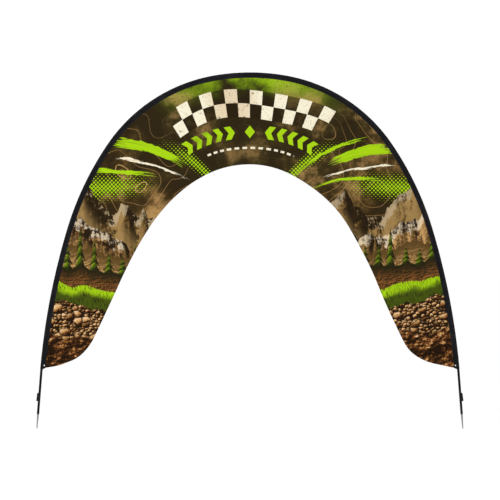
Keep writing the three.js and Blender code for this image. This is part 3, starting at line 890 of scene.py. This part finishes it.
def stitch_rows(name, rows):
    """Many stitches as one mesh. Each row gives the stitches' middles, the directions they
    lie in, and the directions that the cloth faces there."""
    middles, lengthwise, outward = (np.concatenate(part) for part in zip(*rows))
    crosswise = np.cross(lengthwise, outward)
    thread_run = (lengthwise + crosswise * STITCH_LEAN) * STITCH_LENGTH
    sunk = middles - outward * STITCH_RADIUS / 2
    corners = [sunk - thread_run / 2, sunk + thread_run / 2]
    for shoulder in (-STITCH_SHOULDER, STITCH_SHOULDER):
        for spread in (crosswise, outward, -crosswise, -outward):
            corners.append(middles + thread_run * shoulder + spread * STITCH_RADIUS)
    points = np.stack(corners, 1)
    one_stitch = []
    for side in range(4):
        near, beside = 2 + side, 2 + (side + 1) % 4
        one_stitch += [(0, near, beside), (near + 4, 1, beside + 4)]
        one_stitch.append((near, near + 4, beside + 4, beside))
    faces = []
    for start in range(0, len(points) * len(corners), len(corners)):
        faces += [tuple(start + corner for corner in face) for face in one_stitch]
    return smooth_piece(name, points.reshape(-1, 3), faces)


def directions(vectors):
    """Vectors brought to a length of 1."""
    return vectors / np.linalg.norm(vectors, axis=-1, keepdims=True)


thread_material, shader = new_material("black_thread", Specular_IOR_Level=0.2)
ply_twist = noise(spot_on(shader), 900, 2)
colour = paint(dye(16, 16, 18), dye(50, 50, 54), ply_twist.rise(0.40, 0.70))
feed(shader, Base_Color=colour, Roughness=0.55 + ply_twist * 0.2)
raise_surface(shader, noise(spot_on(shader), 1800, 1), distance=0.0001)

hem_depths, _ = zip(*HEM_PROFILE)
hem_column = flat.shape[1] - len(HEM_PROFILE) + hem_depths.index(HEM_STITCH_DEPTH)
hem_reach = HEM_LENGTH - HEM_STITCH_START
stitch_along = np.arange(-hem_reach, hem_reach, STITCH_PITCH)
hem_line = with_y(flat, middle_y)[:, hem_column]
hem_line = np.stack([np.interp(stitch_along, along, line) for line in hem_line.T], -1)
hem_surface = np.interp(stitch_along, along, half[:, hem_column]) + STITCH_RADIUS * 0.35
hem_rows = []
for facing in (-1, 1):
    outward = np.tile((0.0, facing, 0.0), (len(hem_line), 1))
    middles = hem_line + outward * hem_surface[:, None]
    hem_rows.append((middles, directions(np.gradient(middles, axis=0)), outward))
hem_stitching = stitch_rows("hem_stitching", hem_rows)
hem_stitching.data.materials.append(thread_material)
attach(hem_stitching, "root")


# ---- Pole sleeve ----
# One long strip of black woven polyester, folded over the panel's outer edge and the
# poles. Its edges are turned under. One row of stitches closes the pocket beside the pole,
# and another holds the panel between the plies.

SLEEVE_SPLIT = 3.924
POLE_INSET = 0.0142
POCKET_RADIUS = 0.0132
POCKET_SEAM_INSET = 0.029
PLY_INNER = 0.0009
PLY_THICKNESS = 0.0008
TURNED_EDGE = 0.011
TURNED_THICKNESS = 0.0004
POCKET_STITCH_INSET = 0.0312
EDGE_STITCH_INSET = 0.0505
STITCH_DIP = 0.00035
STITCH_DIP_WIDTH = 0.0016
EDGE_ROUNDING = 0.0009
EDGE_SHARE = 0.45  # how thick the strip's edge is where it is folded over
POCKET_BLEND = 0.006  # within this distance a flat ply turns into the pocket's round
PLY_PUCKER = 0.00042
POCKET_FOLD = 0.00030
INNER_WAVER = 0.8  # the inner face's share of the outer face's unevenness
SLEEVE_ROWS = 700
SLEEVE_STRIPS = 5
POCKET_COLUMNS = 16
# Insets of the flat plies' columns, closer together at the folded edge and the stitch rows.
FLAT_INSETS = (
    0.0550, 0.0546, 0.0535, 0.0521, 0.0505, 0.0489, 0.0460, 0.0443, 0.0437, 0.0400,
    0.0350, 0.0328, 0.0312, 0.0300, 0.0290,
)


def ply_y(inset, is_outer):
    """How far a flat ply's inner or outer face stands from the arch's plane."""
    if not is_outer:
        return np.full_like(inset, PLY_INNER)
    turned_start = SLEEVE_WIDTH - TURNED_EDGE
    turned = ease(turned_start - TURNED_THICKNESS, turned_start, inset)
    rounded = ease(SLEEVE_WIDTH, SLEEVE_WIDTH - EDGE_ROUNDING, inset)
    thickness = PLY_THICKNESS + TURNED_THICKNESS * turned
    y = PLY_INNER + thickness * (EDGE_SHARE + (1 - EDGE_SHARE) * rounded)
    for row in (POCKET_STITCH_INSET, EDGE_STITCH_INSET):
        y = y - STITCH_DIP * np.exp(-(((inset - row) / STITCH_DIP_WIDTH) ** 2))
    return y


def strip_section(is_outer):
    """Insets and y of the folded strip's one face, from its front edge to its rear edge."""
    insets = np.array(FLAT_INSETS)
    flat_y = ply_y(insets, is_outer)
    radius = POCKET_RADIUS + (PLY_THICKNESS if is_outer else 0)
    corner = np.array([POCKET_SEAM_INSET - POLE_INSET, flat_y[-1]])
    opening = np.arctan2(corner[1], corner[0]) + np.arccos(radius / np.linalg.norm(corner))
    angles = np.linspace(opening, 2 * pi - opening, POCKET_COLUMNS + 1)
    inset = np.concatenate([insets, POLE_INSET + radius * np.cos(angles), insets[::-1]])
    y = np.concatenate([-flat_y, -radius * np.sin(angles), flat_y[::-1]])
    return inset, y


def on_arch(along, inset, y):
    """Points in the frame from distances along the outer line, insets from it and y."""
    point, inward, _ = walk(OUTER_ARCS, CROWN_HEIGHT, along)
    flat_point = point + inward * inset[..., None]
    return np.stack([flat_point[..., 0], y, flat_point[..., 1]], -1)


def strip_waver(along, inset, y):
    """How far the cloth stands off its ideal line: puckers on the plies, and slack folds
    across the pocket."""
    on_pocket = ease(POCKET_SEAM_INSET + 0.002, POCKET_SEAM_INSET - POCKET_BLEND, inset)
    pucker = PLY_PUCKER * (1 + wave(along, (0.067, 0.091, 0.058), seed=21)) * (1 - on_pocket)
    fold = POCKET_FOLD * wave(along + y * 1.5, (0.110, 0.073, 0.190), seed=23) * on_pocket
    return pucker * ease(0.030, 0.046, inset) + fold


def strip_points(along, inset, y, is_outer=True, lift=0.0):
    """Points of the folded strip, uneven as it is, and lifted off its faces: straight out
    from the flat plies, and away from the pole on the pocket."""
    off = strip_waver(along, inset, y) * (1.0 if is_outer else INNER_WAVER) + lift
    from_pole = directions(np.stack([inset - POLE_INSET, y], -1))
    on_pocket = ease(POCKET_SEAM_INSET, POCKET_SEAM_INSET - POCKET_BLEND, inset)
    facing = np.where(y < 0, -1.0, 1.0)
    moved_y = y + off * (facing * (1 - on_pocket) + from_pole[..., 1] * on_pocket)
    return on_arch(along, inset + off * from_pole[..., 0] * on_pocket, moved_y)


def distance_across(inset, y):
    """How far each point of a section lies from its first one, along the cloth."""
    return np.concatenate([[0], np.cumsum(np.hypot(np.diff(inset), np.diff(y)))])


def folded_strip(name, along, strips, lift=0.0):
    """A length of the folded strip: along gives the distance of each row and column."""
    faces = []
    for is_outer in (True, False):
        inset, y = (np.broadcast_to(part, along.shape) for part in strip_section(is_outer))
        faces.append(strip_points(along, inset, y, is_outer, lift))
    piece = closed_sheet(name, *faces)
    inset, y = strip_section(is_outer=True)
    place = np.stack(np.broadcast_arrays(along, distance_across(inset, y), inset), -1)
    set_point_vectors(piece, "strip_place", np.concatenate([place, place]))
    lay_out_for_baking(piece, faces[0], strips)
    return piece


sleeve_along = np.linspace(-SLEEVE_SPLIT, SLEEVE_SPLIT, SLEEVE_ROWS + 1)
sleeve_columns = len(strip_section(is_outer=True)[0])
sleeve_grid = np.repeat(sleeve_along[:, None], sleeve_columns, 1)
sleeve = folded_strip("black_sleeve", sleeve_grid, SLEEVE_STRIPS)

SLEEVE_WEAVE_PITCH = 0.0018
SLEEVE_BLACK = dye(20, 19, 23)
SLEEVE_WORN = dye(48, 46, 52)


def strip_material(name, black, worn, pitch, roughness):
    """Black woven cloth: its weave runs along the strip, with painted shade in the gaps between
    its threads. It puckers beside its stitch rows, and is a little worn on the pocket's round
    and along its turned edges."""
    material, shader = new_material(
        name, Specular_IOR_Level=0.08, Sheen_Weight=0.04, Sheen_Roughness=0.5
    )
    place = node_field(
        shader.id_data, "ShaderNodeAttribute", (), output="Vector", attribute_name="strip_place"
    )
    strip_run, strip_across, inset = parts(place)
    weave = place_group(shader, weave_group, Place=vector(strip_run, strip_across), Pitch=pitch)
    blotches = noise(vector(strip_run, strip_across * 3), 5.0, 4, 0.6)
    lint = noise(vector(strip_run, strip_across), 160, 3, 0.7)
    edge = inset.rise(SLEEVE_WIDTH - 0.004, SLEEVE_WIDTH) + inset.rise(0.004, 0.0)
    colour = paint(black, worn, blotches.rise(0.42, 0.75) * 0.40)
    colour = paint(colour, worn, edge * lint.rise(0.45, 0.65) * 0.7)
    colour = paint(colour, worn, lint.rise(0.66, 0.74) * 0.6)
    # Painted shade: the gaps between the weave's threads are darkened.
    colour = paint(colour, BLACK, (1 - weave["Shade"]) * 0.45)
    feed(shader, Base_Color=colour, Roughness=roughness + (blotches - 0.5) * 0.2)
    beside_rows = 0.0
    for row in (POCKET_STITCH_INSET, EDGE_STITCH_INSET):
        beside_rows = beside_rows + (0.006 - abs(inset - row)).rise(0.0, 0.006)
    pucker = noise(vector(strip_run * 150, inset * 60), 1.0, 2) * beside_rows
    raise_surface(shader, weave["Height"] * 0.35 + pucker * 1.2, distance=0.0005)
    return material


sleeve.data.materials.append(
    strip_material("sleeve_black", SLEEVE_BLACK, SLEEVE_WORN, SLEEVE_WEAVE_PITCH, roughness=0.80)
)
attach(sleeve, "root")
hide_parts("pole_sleeve")


def strip_stitches(along, inset, y, lift=0.0):
    """One row of stitches on the strip's outer face, through these places."""
    middles = strip_points(along, inset, y, lift=lift + STITCH_RADIUS / 2)
    above = strip_points(along, inset, y, lift=lift + STITCH_LENGTH)
    return middles, directions(np.gradient(middles, axis=0)), directions(above - middles)


def rows_along(along, lift=0.0):
    """The two rows of stitches along the strip, on both of its faces."""
    rows = []
    for row in (POCKET_STITCH_INSET, EDGE_STITCH_INSET):
        inset = np.full(len(along), row)
        for facing in (-1, 1):
            rows.append(strip_stitches(along, inset, facing * ply_y(inset, is_outer=True), lift))
    return rows


SEAM_END = SLEEVE_SPLIT - 0.012
sleeve_stitching = stitch_rows(
    "sleeve_stitching", rows_along(np.arange(-SEAM_END, SEAM_END, STITCH_PITCH))
)
sleeve_stitching.data.materials.append(thread_material)
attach(sleeve_stitching, "root")


# ---- Sleeve ends ----
# The lower 110 mm of the sleeve on each side is a tougher coated cloth, a shade cooler. It
# laps over the sleeve, is sewn all round with a bar tack at the pocket's mouth, and holds
# an eyelet in its inner corner, which is cut away at a slant.

SLEEVE_LENGTH = 4.034
CORNER_RISE = 0.015
END_LAP = 0.009
LAP_LIFT = 0.00125
LAP_SLOPE = (0.0005, 0.006)  # how far below the sleeve's end the lap's step runs out
FOLD_LIFT = 0.00025
FOLD_STEP = 0.0005
END_CLEARANCE = 0.00003
END_PLAIN_ROWS = 26
END_BLACK = dye(14, 19, 21)
END_WORN = dye(42, 49, 52)
END_WEAVE_PITCH = 0.0024
BOTTOM_FOLD = 0.010
EYELET_INSET = 0.0382
EYELET_RISE = 0.039
EYELET_HOLE_IN_CLOTH = 0.0062
PUNCH_SIDES = 40
PUNCH_LENGTH = 0.02
TOP_SEAM = SLEEVE_SPLIT - 0.0055
BOTTOM_SEAM = SLEEVE_LENGTH - 0.0085
BAR_TACK_PITCH = 0.0009
BAR_TACK_STITCHES = 12


def end_rise(inset, distance):
    """How much higher than on the pocket a row lies at an inset, near the slanted bottom."""
    corner_share = np.clip((inset - POCKET_SEAM_INSET) / (SLEEVE_WIDTH - POCKET_SEAM_INSET), 0, 1)
    return CORNER_RISE * corner_share * ease(SLEEVE_SPLIT + 0.03, SLEEVE_LENGTH, distance)


def end_lift(distance):
    """How far the end stands off the strip's own faces: over the lap and at the fold."""
    slope_start, slope_end = LAP_SLOPE
    over_lap = LAP_LIFT * ease(slope_end, slope_start, distance - SLEEVE_SPLIT)
    fold_top = SLEEVE_LENGTH - BOTTOM_FOLD
    at_fold = FOLD_LIFT * ease(fold_top - FOLD_STEP, fold_top + FOLD_STEP, distance)
    return over_lap + at_fold + END_CLEARANCE


def eyelet_centre(side):
    """The middle of a side's eyelet, in the arch's plane."""
    along = np.array(side * (SLEEVE_LENGTH - EYELET_RISE))
    return Vector(on_arch(along, np.array(EYELET_INSET), np.array(0.0)))


def solid_from(shape, name):
    """An object from a bmesh shape, with its faces turned outwards."""
    bmesh.ops.recalc_face_normals(shape, faces=shape.faces)
    mesh = bpy.data.meshes.new(name)
    shape.to_mesh(mesh)
    shape.free()
    return show(name, mesh)


WELD = 0.00002  # corners closer than this are one


def combine(piece, other, operation):
    """Cuts another closed piece out of this one, or joins it on, and removes the other."""
    modifier = piece.modifiers.new("combine", "BOOLEAN")
    modifier.object, modifier.operation, modifier.solver = other, operation, "EXACT"
    evaluated = piece.evaluated_get(bpy.context.evaluated_depsgraph_get())
    piece.data = bpy.data.meshes.new_from_object(evaluated)
    piece.modifiers.clear()
    bpy.data.objects.remove(other)
    shape = bmesh.new()
    shape.from_mesh(piece.data)
    bmesh.ops.remove_doubles(shape, verts=shape.verts, dist=WELD)
    bmesh.ops.dissolve_degenerate(shape, dist=WELD, edges=shape.edges)
    bmesh.ops.triangulate(shape, faces=[face for face in shape.faces if len(face.verts) > 4])
    shape.to_mesh(piece.data)
    shape.free()


def eyelet_punch(side):
    """A round bar through the cloth where the eyelet's barrel goes."""
    shape = bmesh.new()
    upright = Matrix.Translation(eyelet_centre(side)) @ Matrix.Rotation(radians(90), 4, "X")
    bmesh.ops.create_cone(
        shape, cap_ends=True, segments=PUNCH_SIDES, radius1=EYELET_HOLE_IN_CLOTH,
        radius2=EYELET_HOLE_IN_CLOTH, depth=PUNCH_LENGTH, matrix=upright,
    )
    return solid_from(shape, "eyelet_punch")


def row_across(distance, side):
    """A row of stitches right round the strip's section at a distance down the arch."""
    inset, y = strip_section(is_outer=True)
    across = distance_across(inset, y)
    spots = np.arange(STITCH_PITCH, across[-1] - STITCH_PITCH, STITCH_PITCH)
    inset, y = np.interp(spots, across, inset), np.interp(spots, across, y)
    down = np.full(len(spots), distance)
    return strip_stitches(side * (down - end_rise(inset, down)), inset, y, end_lift(down))


def bar_tack(side, facing):
    """A short block of close stitches that lie across the end of the pocket's seam."""
    down = SLEEVE_LENGTH - BOTTOM_FOLD - BAR_TACK_PITCH * np.arange(BAR_TACK_STITCHES)
    inset = np.full(len(down), POCKET_STITCH_INSET)
    y = facing * ply_y(inset, is_outer=True)
    middles, lengthwise, outward = strip_stitches(side * down, inset, y, end_lift(down))
    return middles, np.cross(outward, lengthwise), outward


end_material = strip_material(
    "sleeve_end_black", END_BLACK, END_WORN, END_WEAVE_PITCH, roughness=0.66
)
lap_rows = np.array([-END_LAP, -END_LAP + 0.0008, -0.006, -0.003, 0.0, 0.002, 0.004, 0.006])
fold_rows = np.array([0.0106, 0.0094, 0.0085, 0.0070, 0.0040, 0.0012, 0.0])
plain_rows = np.linspace(SLEEVE_SPLIT + 0.010, SLEEVE_LENGTH - 0.012, END_PLAIN_ROWS)
down_end = np.concatenate([SLEEVE_SPLIT + lap_rows, plain_rows, SLEEVE_LENGTH - fold_rows])[:, None]
end_grid = down_end - end_rise(strip_section(is_outer=True)[0], down_end)
seam_down_end = np.arange(SLEEVE_SPLIT - 0.005, SLEEVE_LENGTH - 0.022, STITCH_PITCH)

HANDS = (("left", -1), ("right", 1))
for hand, side in HANDS:
    end = folded_strip(f"{hand}_end_patch", side * end_grid, strips=1, lift=end_lift(down_end))
    combine(end, eyelet_punch(side), "DIFFERENCE")
    end.data.materials.clear()
    end.data.materials.append(end_material)
    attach(end, "root")
    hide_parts(f"{hand}_sleeve_end")

    end_rows = rows_along(side * seam_down_end, end_lift(seam_down_end))
    end_rows += [row_across(seam, side) for seam in (TOP_SEAM, BOTTOM_SEAM)]
    end_rows += [bar_tack(side, facing) for facing in (-1, 1)]
    end_stitching = stitch_rows(f"{hand}_end_stitching", end_rows)
    end_stitching.data.materials.append(thread_material)
    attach(end_stitching, "root")


# ---- Eyelets ----
# Two-part rolled eyelets of nickelled brass. The front flange is domed, and the barrel's
# end is rolled over a washer at the back.

# Radius, and distance through the cloth towards the back, round the ring's section.
EYELET_PROFILE = (
    (0.00475, -0.0016), (0.00480, -0.0025), (0.0051, -0.0030), (0.0057, -0.00335),
    (0.0066, -0.00340), (0.0077, -0.00315), (0.0086, -0.00275), (0.0090, -0.00245),
    (0.0090, -0.0022), (0.0060, -0.0022), (0.0060, 0.0022), (0.0090, 0.0022),
    (0.0090, 0.0025), (0.0085, 0.00285), (0.0074, 0.00305), (0.0069, 0.00305),
    (0.0064, 0.0033), (0.0056, 0.00335), (0.0050, 0.0030), (0.00478, 0.0025),
    (0.00475, 0.0016),
)
EYELET_SIDES = 56
# Turning an upright axis by this lays it through the cloth, towards the back.
LAID_THROUGH = Matrix.Rotation(radians(-90), 4, "X")


def join_rings(shape, rings, is_loop=False):
    """Faces between each ring of corners and the next one, and round to the first."""
    for lower, upper in zip(rings, rings[1:] + rings[:1] if is_loop else rings[1:]):
        for k in range(len(lower)):
            after = (k + 1) % len(lower)
            shape.faces.new((lower[k], lower[after], upper[after], upper[k]))


def turned(name, profile, sides, placement, is_ring):
    """A turned piece: its profile of radii and heights, swung round an upright axis and
    then placed. A ring's profile closes on itself, and any other is capped."""
    shape = bmesh.new()
    rings = []
    for radius, height in profile:
        corners = (Vector((np.cos(a), np.sin(a), 0)) for a in np.arange(sides) * 2 * pi / sides)
        rise = Vector((0, 0, height))
        rings.append([shape.verts.new(placement @ (c * radius + rise)) for c in corners])
    join_rings(shape, rings, is_ring)
    if not is_ring:
        shape.faces.new(rings[0])
        shape.faces.new(rings[-1])
    return solid_from(shape, name)


def shade_smooth(piece, sharp_angle):
    """Smooth shading that breaks at edges sharper than this angle in degrees."""
    piece.data.polygons.foreach_set("use_smooth", np.ones(len(piece.data.polygons), bool))
    piece.data.set_sharp_from_angle(angle=radians(sharp_angle))


eyelet_material, shader = new_material("nickelled_brass")
tarnish = noise(spot_on(shader), 300, 4, 0.6)
feed(
    shader,
    Base_Color=paint(dye(142, 142, 140), dye(98, 95, 89), tarnish.rise(0.45, 0.75)),
    Metallic=1.0 - tarnish.rise(0.55, 0.80) * 0.3,
    Roughness=0.2 + tarnish * 0.25,
)
raise_surface(shader, noise(spot_on(shader), 900, 3), distance=0.00008)

for hand, side in HANDS:
    placement = Matrix.Translation(eyelet_centre(side)) @ LAID_THROUGH
    ring = turned(f"{hand}_eyelet_ring", EYELET_PROFILE, EYELET_SIDES, placement, is_ring=True)
    shade_smooth(ring, sharp_angle=50)
    ring.data.materials.append(eyelet_material)
    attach(ring, "root")
    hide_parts(f"{hand}_eyelet")


# ---- Poles ----
# Two round flexible poles with a black gloss coat, bent inside the sleeve and joined by a
# spigot at the crown. They come out below the sleeve, and each takes a spike in its foot.

POLE_RADIUS = 0.0125
POLE_FOOT_HEIGHT = 0.145
STRAIGHT_START = 4.109
JOINT_HALF_GAP = 0.00015
SPIGOT_RADIUS = 0.007
SPIGOT_LENGTH = 0.111
SPIGOT_CHAMFER = 0.001
SPIGOT_BORE_RADIUS = 0.0073
SPIGOT_BORE_LENGTH = 0.114
FOOT_BORE_RADIUS = 0.0081
FOOT_BORE_DEPTH = 0.114
FOOT_CHAMFER = 0.0008
POLE_SIDES = 36
POLE_ROWS = 230


def along_at_height(height):
    """Distance down the outer line at which a pole's axis is at a height, near its foot."""
    point, inward, down = walk(OUTER_ARCS, CROWN_HEIGHT, np.array(STRAIGHT_START))
    axis_height = point[1] + inward[1] * POLE_INSET
    return float(STRAIGHT_START + (height - axis_height) / down[1])


POLE_LENGTH = along_at_height(POLE_FOOT_HEIGHT)


def pole_profile(is_spigot_side):
    """Distances from the crown and radii, from inside the joint round to the foot's bore."""
    if is_spigot_side:
        joint = [
            (-SPIGOT_LENGTH, 0.0), (-SPIGOT_LENGTH, SPIGOT_RADIUS - SPIGOT_CHAMFER),
            (SPIGOT_CHAMFER - SPIGOT_LENGTH, SPIGOT_RADIUS), (JOINT_HALF_GAP, SPIGOT_RADIUS),
        ]
    else:
        joint = [
            (SPIGOT_BORE_LENGTH, 0.0), (SPIGOT_BORE_LENGTH, SPIGOT_BORE_RADIUS),
            (JOINT_HALF_GAP, SPIGOT_BORE_RADIUS),
        ]
    down = np.linspace(JOINT_HALF_GAP, POLE_LENGTH - FOOT_CHAMFER, POLE_ROWS)
    bore_floor = POLE_LENGTH - FOOT_BORE_DEPTH
    foot = [
        (POLE_LENGTH, POLE_RADIUS - FOOT_CHAMFER), (POLE_LENGTH, FOOT_BORE_RADIUS),
        (bore_floor, FOOT_BORE_RADIUS), (bore_floor, 0.0),
    ]
    outside = np.stack([down, np.full(len(down), POLE_RADIUS)], -1)
    return np.concatenate([joint, outside, foot]).T


def bar_on_arch(name, distance, radius, side):
    """A round bar along a pole's line, from its rows' distances and radii; rows of no
    radius close its ends."""
    angles = np.arange(POLE_SIDES) * 2 * pi / POLE_SIDES
    inset = POLE_INSET - np.outer(radius, np.cos(angles))
    y = np.outer(radius, np.sin(angles))
    points = on_arch(np.repeat(side * distance[:, None], POLE_SIDES, 1), inset, y)
    shape = bmesh.new()
    rings = [[shape.verts.new(point) for point in row] for row in points]
    join_rings(shape, rings)
    bmesh.ops.remove_doubles(shape, verts=shape.verts, dist=WELD)
    return solid_from(shape, name)


pole_material, shader = new_material(
    "black_gloss_coat", Specular_IOR_Level=0.06, Coat_Roughness=0.18
)
pole_x, _, pole_z = parts(spot_on(shader))
streaks = noise(vector(pole_x * 400, pole_z * 9), 1.0, 3, 0.6)
scuffs = noise(vector(pole_x * 300, pole_z * 30), 1.0, 4, 0.7)
dust = pole_z.rise(0.50, 0.15) * noise(spot_on(shader), 60, 4, 0.7).rise(0.40, 0.65)
colour = paint(dye(4, 4, 5), dye(38, 38, 41), scuffs.rise(0.62, 0.72) * 0.35)
feed(
    shader,
    Base_Color=paint(colour, dye(84, 75, 62), dust * 0.14),
    Roughness=0.22 + streaks * 0.16 + dust * 0.3,
    Coat_Weight=0.08 - dust * 0.06,
)
raise_surface(shader, streaks, distance=0.00006)

for hand, side in HANDS:
    distance, radius = pole_profile(is_spigot_side=side < 0)
    pole = bar_on_arch(f"{hand}_pole_bar", distance, radius, side)
    shade_smooth(pole, sharp_angle=35)
    pole.data.materials.append(pole_material)
    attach(pole, "root")
    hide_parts(f"{hand}_pole")


# ---- Hook clips ----
# A black nylon moulding snapped round each pole from outside. It widens downwards to a
# square lip with an undercut, for a loop of elastic pulled down over it.

CLIP_TOP_HEIGHT = 0.355
CLIP_LENGTH = 0.084
CLIP_TOP_REACH = 0.0115
CLIP_BOTTOM_REACH = 0.015
CLIP_LIP_HEIGHT = 0.012
CLIP_BEVEL = 0.003
CLIP_WIDTH = 0.012
CLIP_WRAP = 0.003
CLIP_WRAP_ANGLE = 115
CLIP_WRAP_SIDES = 32
CLIP_UNDERCUT = 0.005
CLIP_PLAY = 0.0003
CLIP_EDGE = 0.0008
BAND_EDGE = 0.00064


def foot_frame(side, height):
    """A frame on a pole's axis at a height: +X points out of the arch and +Z up the pole."""
    along = np.array(side * along_at_height(height))
    _, inward, down = walk(OUTER_ARCS, CROWN_HEIGHT, along)
    outward, up = Vector((-inward[0], 0, -inward[1])), Vector((-down[0], 0, -down[1]))
    placement = Matrix.Identity(4)
    for column, axis in enumerate((outward, up.cross(outward), up)):
        placement.col[column][:3] = axis
    placement.translation = on_arch(along, np.array(POLE_INSET), np.array(0.0))
    return placement


def moulded(name, outline, direction, length, edge):
    """A closed block drawn along a direction from an outline of points, edges rounded."""
    shape = bmesh.new()
    face = shape.faces.new([shape.verts.new(point) for point in outline])
    drawn = bmesh.ops.extrude_face_region(shape, geom=[face])["geom"]
    far_corners = [item for item in drawn if isinstance(item, bmesh.types.BMVert)]
    bmesh.ops.translate(shape, verts=far_corners, vec=Vector(direction) * length)
    bmesh.ops.recalc_face_normals(shape, faces=shape.faces)
    sharp = [e for e in shape.edges if e.calc_face_angle() > radians(20)]
    bmesh.ops.bevel(shape, geom=sharp, offset=edge, segments=3, profile=0.5, affect="EDGES")
    return solid_from(shape, name)


clip_material, shader = new_material("black_nylon", Specular_IOR_Level=0.15)
rubbed = noise(spot_on(shader), 90, 4, 0.7)
colour = paint(dye(12, 12, 13), dye(42, 42, 44), rubbed.rise(0.55, 0.75) * 0.5)
feed(shader, Base_Color=colour, Roughness=0.42 + rubbed * 0.2)
raise_surface(shader, noise(spot_on(shader), 1400, 3, 0.6), distance=0.0001)

clip_seat = POLE_RADIUS + CLIP_PLAY
clip_root = clip_seat + CLIP_WRAP * 0.3
clip_top, clip_bottom = POLE_RADIUS + CLIP_TOP_REACH, POLE_RADIUS + CLIP_BOTTOM_REACH
# The hook's outline from the side: out from the pole's axis, and up from the clip's top.
HOOK_OUTLINE = (
    (clip_root, 0), (clip_top - CLIP_BEVEL, 0), (clip_top, -CLIP_BEVEL),
    (clip_bottom, CLIP_LIP_HEIGHT - CLIP_LENGTH), (clip_bottom, -CLIP_LENGTH),
    (clip_root, CLIP_UNDERCUT - CLIP_LENGTH),
)
hook_points = [(out, -CLIP_WIDTH / 2, up) for out, up in HOOK_OUTLINE]
# The band's outline from above: round its outside, and back along the pole.
wrap_angles = np.radians(np.linspace(-CLIP_WRAP_ANGLE, CLIP_WRAP_ANGLE, CLIP_WRAP_SIDES + 1))
band_points = [
    (radius * np.cos(angle), radius * np.sin(angle), -CLIP_LENGTH)
    for radius, angles in ((clip_seat + CLIP_WRAP, wrap_angles), (clip_seat, wrap_angles[::-1]))
    for angle in angles
]

for hand, side in HANDS:
    clip = moulded(f"{hand}_clip", hook_points, (0, 1, 0), CLIP_WIDTH, CLIP_EDGE)
    band = moulded("band", band_points, (0, 0, 1), CLIP_LENGTH, BAND_EDGE)
    combine(clip, band, "UNION")
    clip.data.transform(foot_frame(side, CLIP_TOP_HEIGHT))
    shade_smooth(clip, sharp_angle=40)
    clip.data.materials.clear()
    clip.data.materials.append(clip_material)
    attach(clip, "root")
    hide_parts(f"{hand}_hook_clip")


# ---- Ground spikes ----
# Turned steel spikes, zinc plated, each on a spindle that sits in a pole's foot. They are
# scratched along their length and dulled by soil towards the tip, which is cut off level.

# Radius, and height above the pole's foot, from the tip up over the collar.
SPIKE_PROFILE = (
    (0.0050, -0.1500), (0.0105, -0.0120), (0.01056, -0.0108), (0.0101, -0.0104),
    (0.01015, -0.0086), (0.0109, -0.0082), (0.0110, -0.0078), (0.0110, -0.0009),
    (0.0104, -0.0003), (0.0077, -0.0003), (0.0077, 0.1090), (0.0067, 0.1100),
)
SPIKE_SIDES = 48

spike_material, shader = new_material("plated_steel")
spike_x, spike_y, spike_z = parts(spot_on(shader))
turning = noise(vector(spike_x * 3, spike_y * 3, spike_z * 900), 1.0, 2)
lengthwise = noise(vector(spike_x * 900, spike_y * 900, spike_z * 12), 1.0, 3, 0.7)
soil = spike_z.rise(0.085, 0.0) * noise(spot_on(shader), 120, 4, 0.7).rise(0.32, 0.62)
colour = paint(dye(146, 147, 149), dye(92, 93, 96), lengthwise.rise(0.45, 0.75) * 0.6)
feed(
    shader,
    Base_Color=paint(colour, dye(104, 84, 62), soil * 0.5),
    Metallic=1.0 - soil * 0.7,
    Roughness=0.30 + turning * 0.14 + soil * 0.3,
)
raise_surface(shader, turning * 0.6 + lengthwise * 0.4, distance=0.00008)


def cut_at_ground(piece):
    """Cuts off what reaches below the ground, and closes the cut."""
    shape = bmesh.new()
    shape.from_mesh(piece.data)
    cut = bmesh.ops.bisect_plane(
        shape, geom=shape.verts[:] + shape.edges[:] + shape.faces[:],
        plane_co=(0, 0, 0), plane_no=(0, 0, -1), clear_outer=True,
    )
    rim = [item for item in cut["geom_cut"] if isinstance(item, bmesh.types.BMEdge)]
    bmesh.ops.contextual_create(shape, geom=rim)
    bmesh.ops.recalc_face_normals(shape, faces=shape.faces)
    shape.to_mesh(piece.data)
    shape.free()


for hand, side in HANDS:
    placement = foot_frame(side, POLE_FOOT_HEIGHT)
    spike = turned(f"{hand}_spike", SPIKE_PROFILE, SPIKE_SIDES, placement, is_ring=False)
    cut_at_ground(spike)
    shade_smooth(spike, sharp_angle=35)
    spike.data.materials.append(spike_material)
    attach(spike, "root")
    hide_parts(f"{hand}_ground_spike")
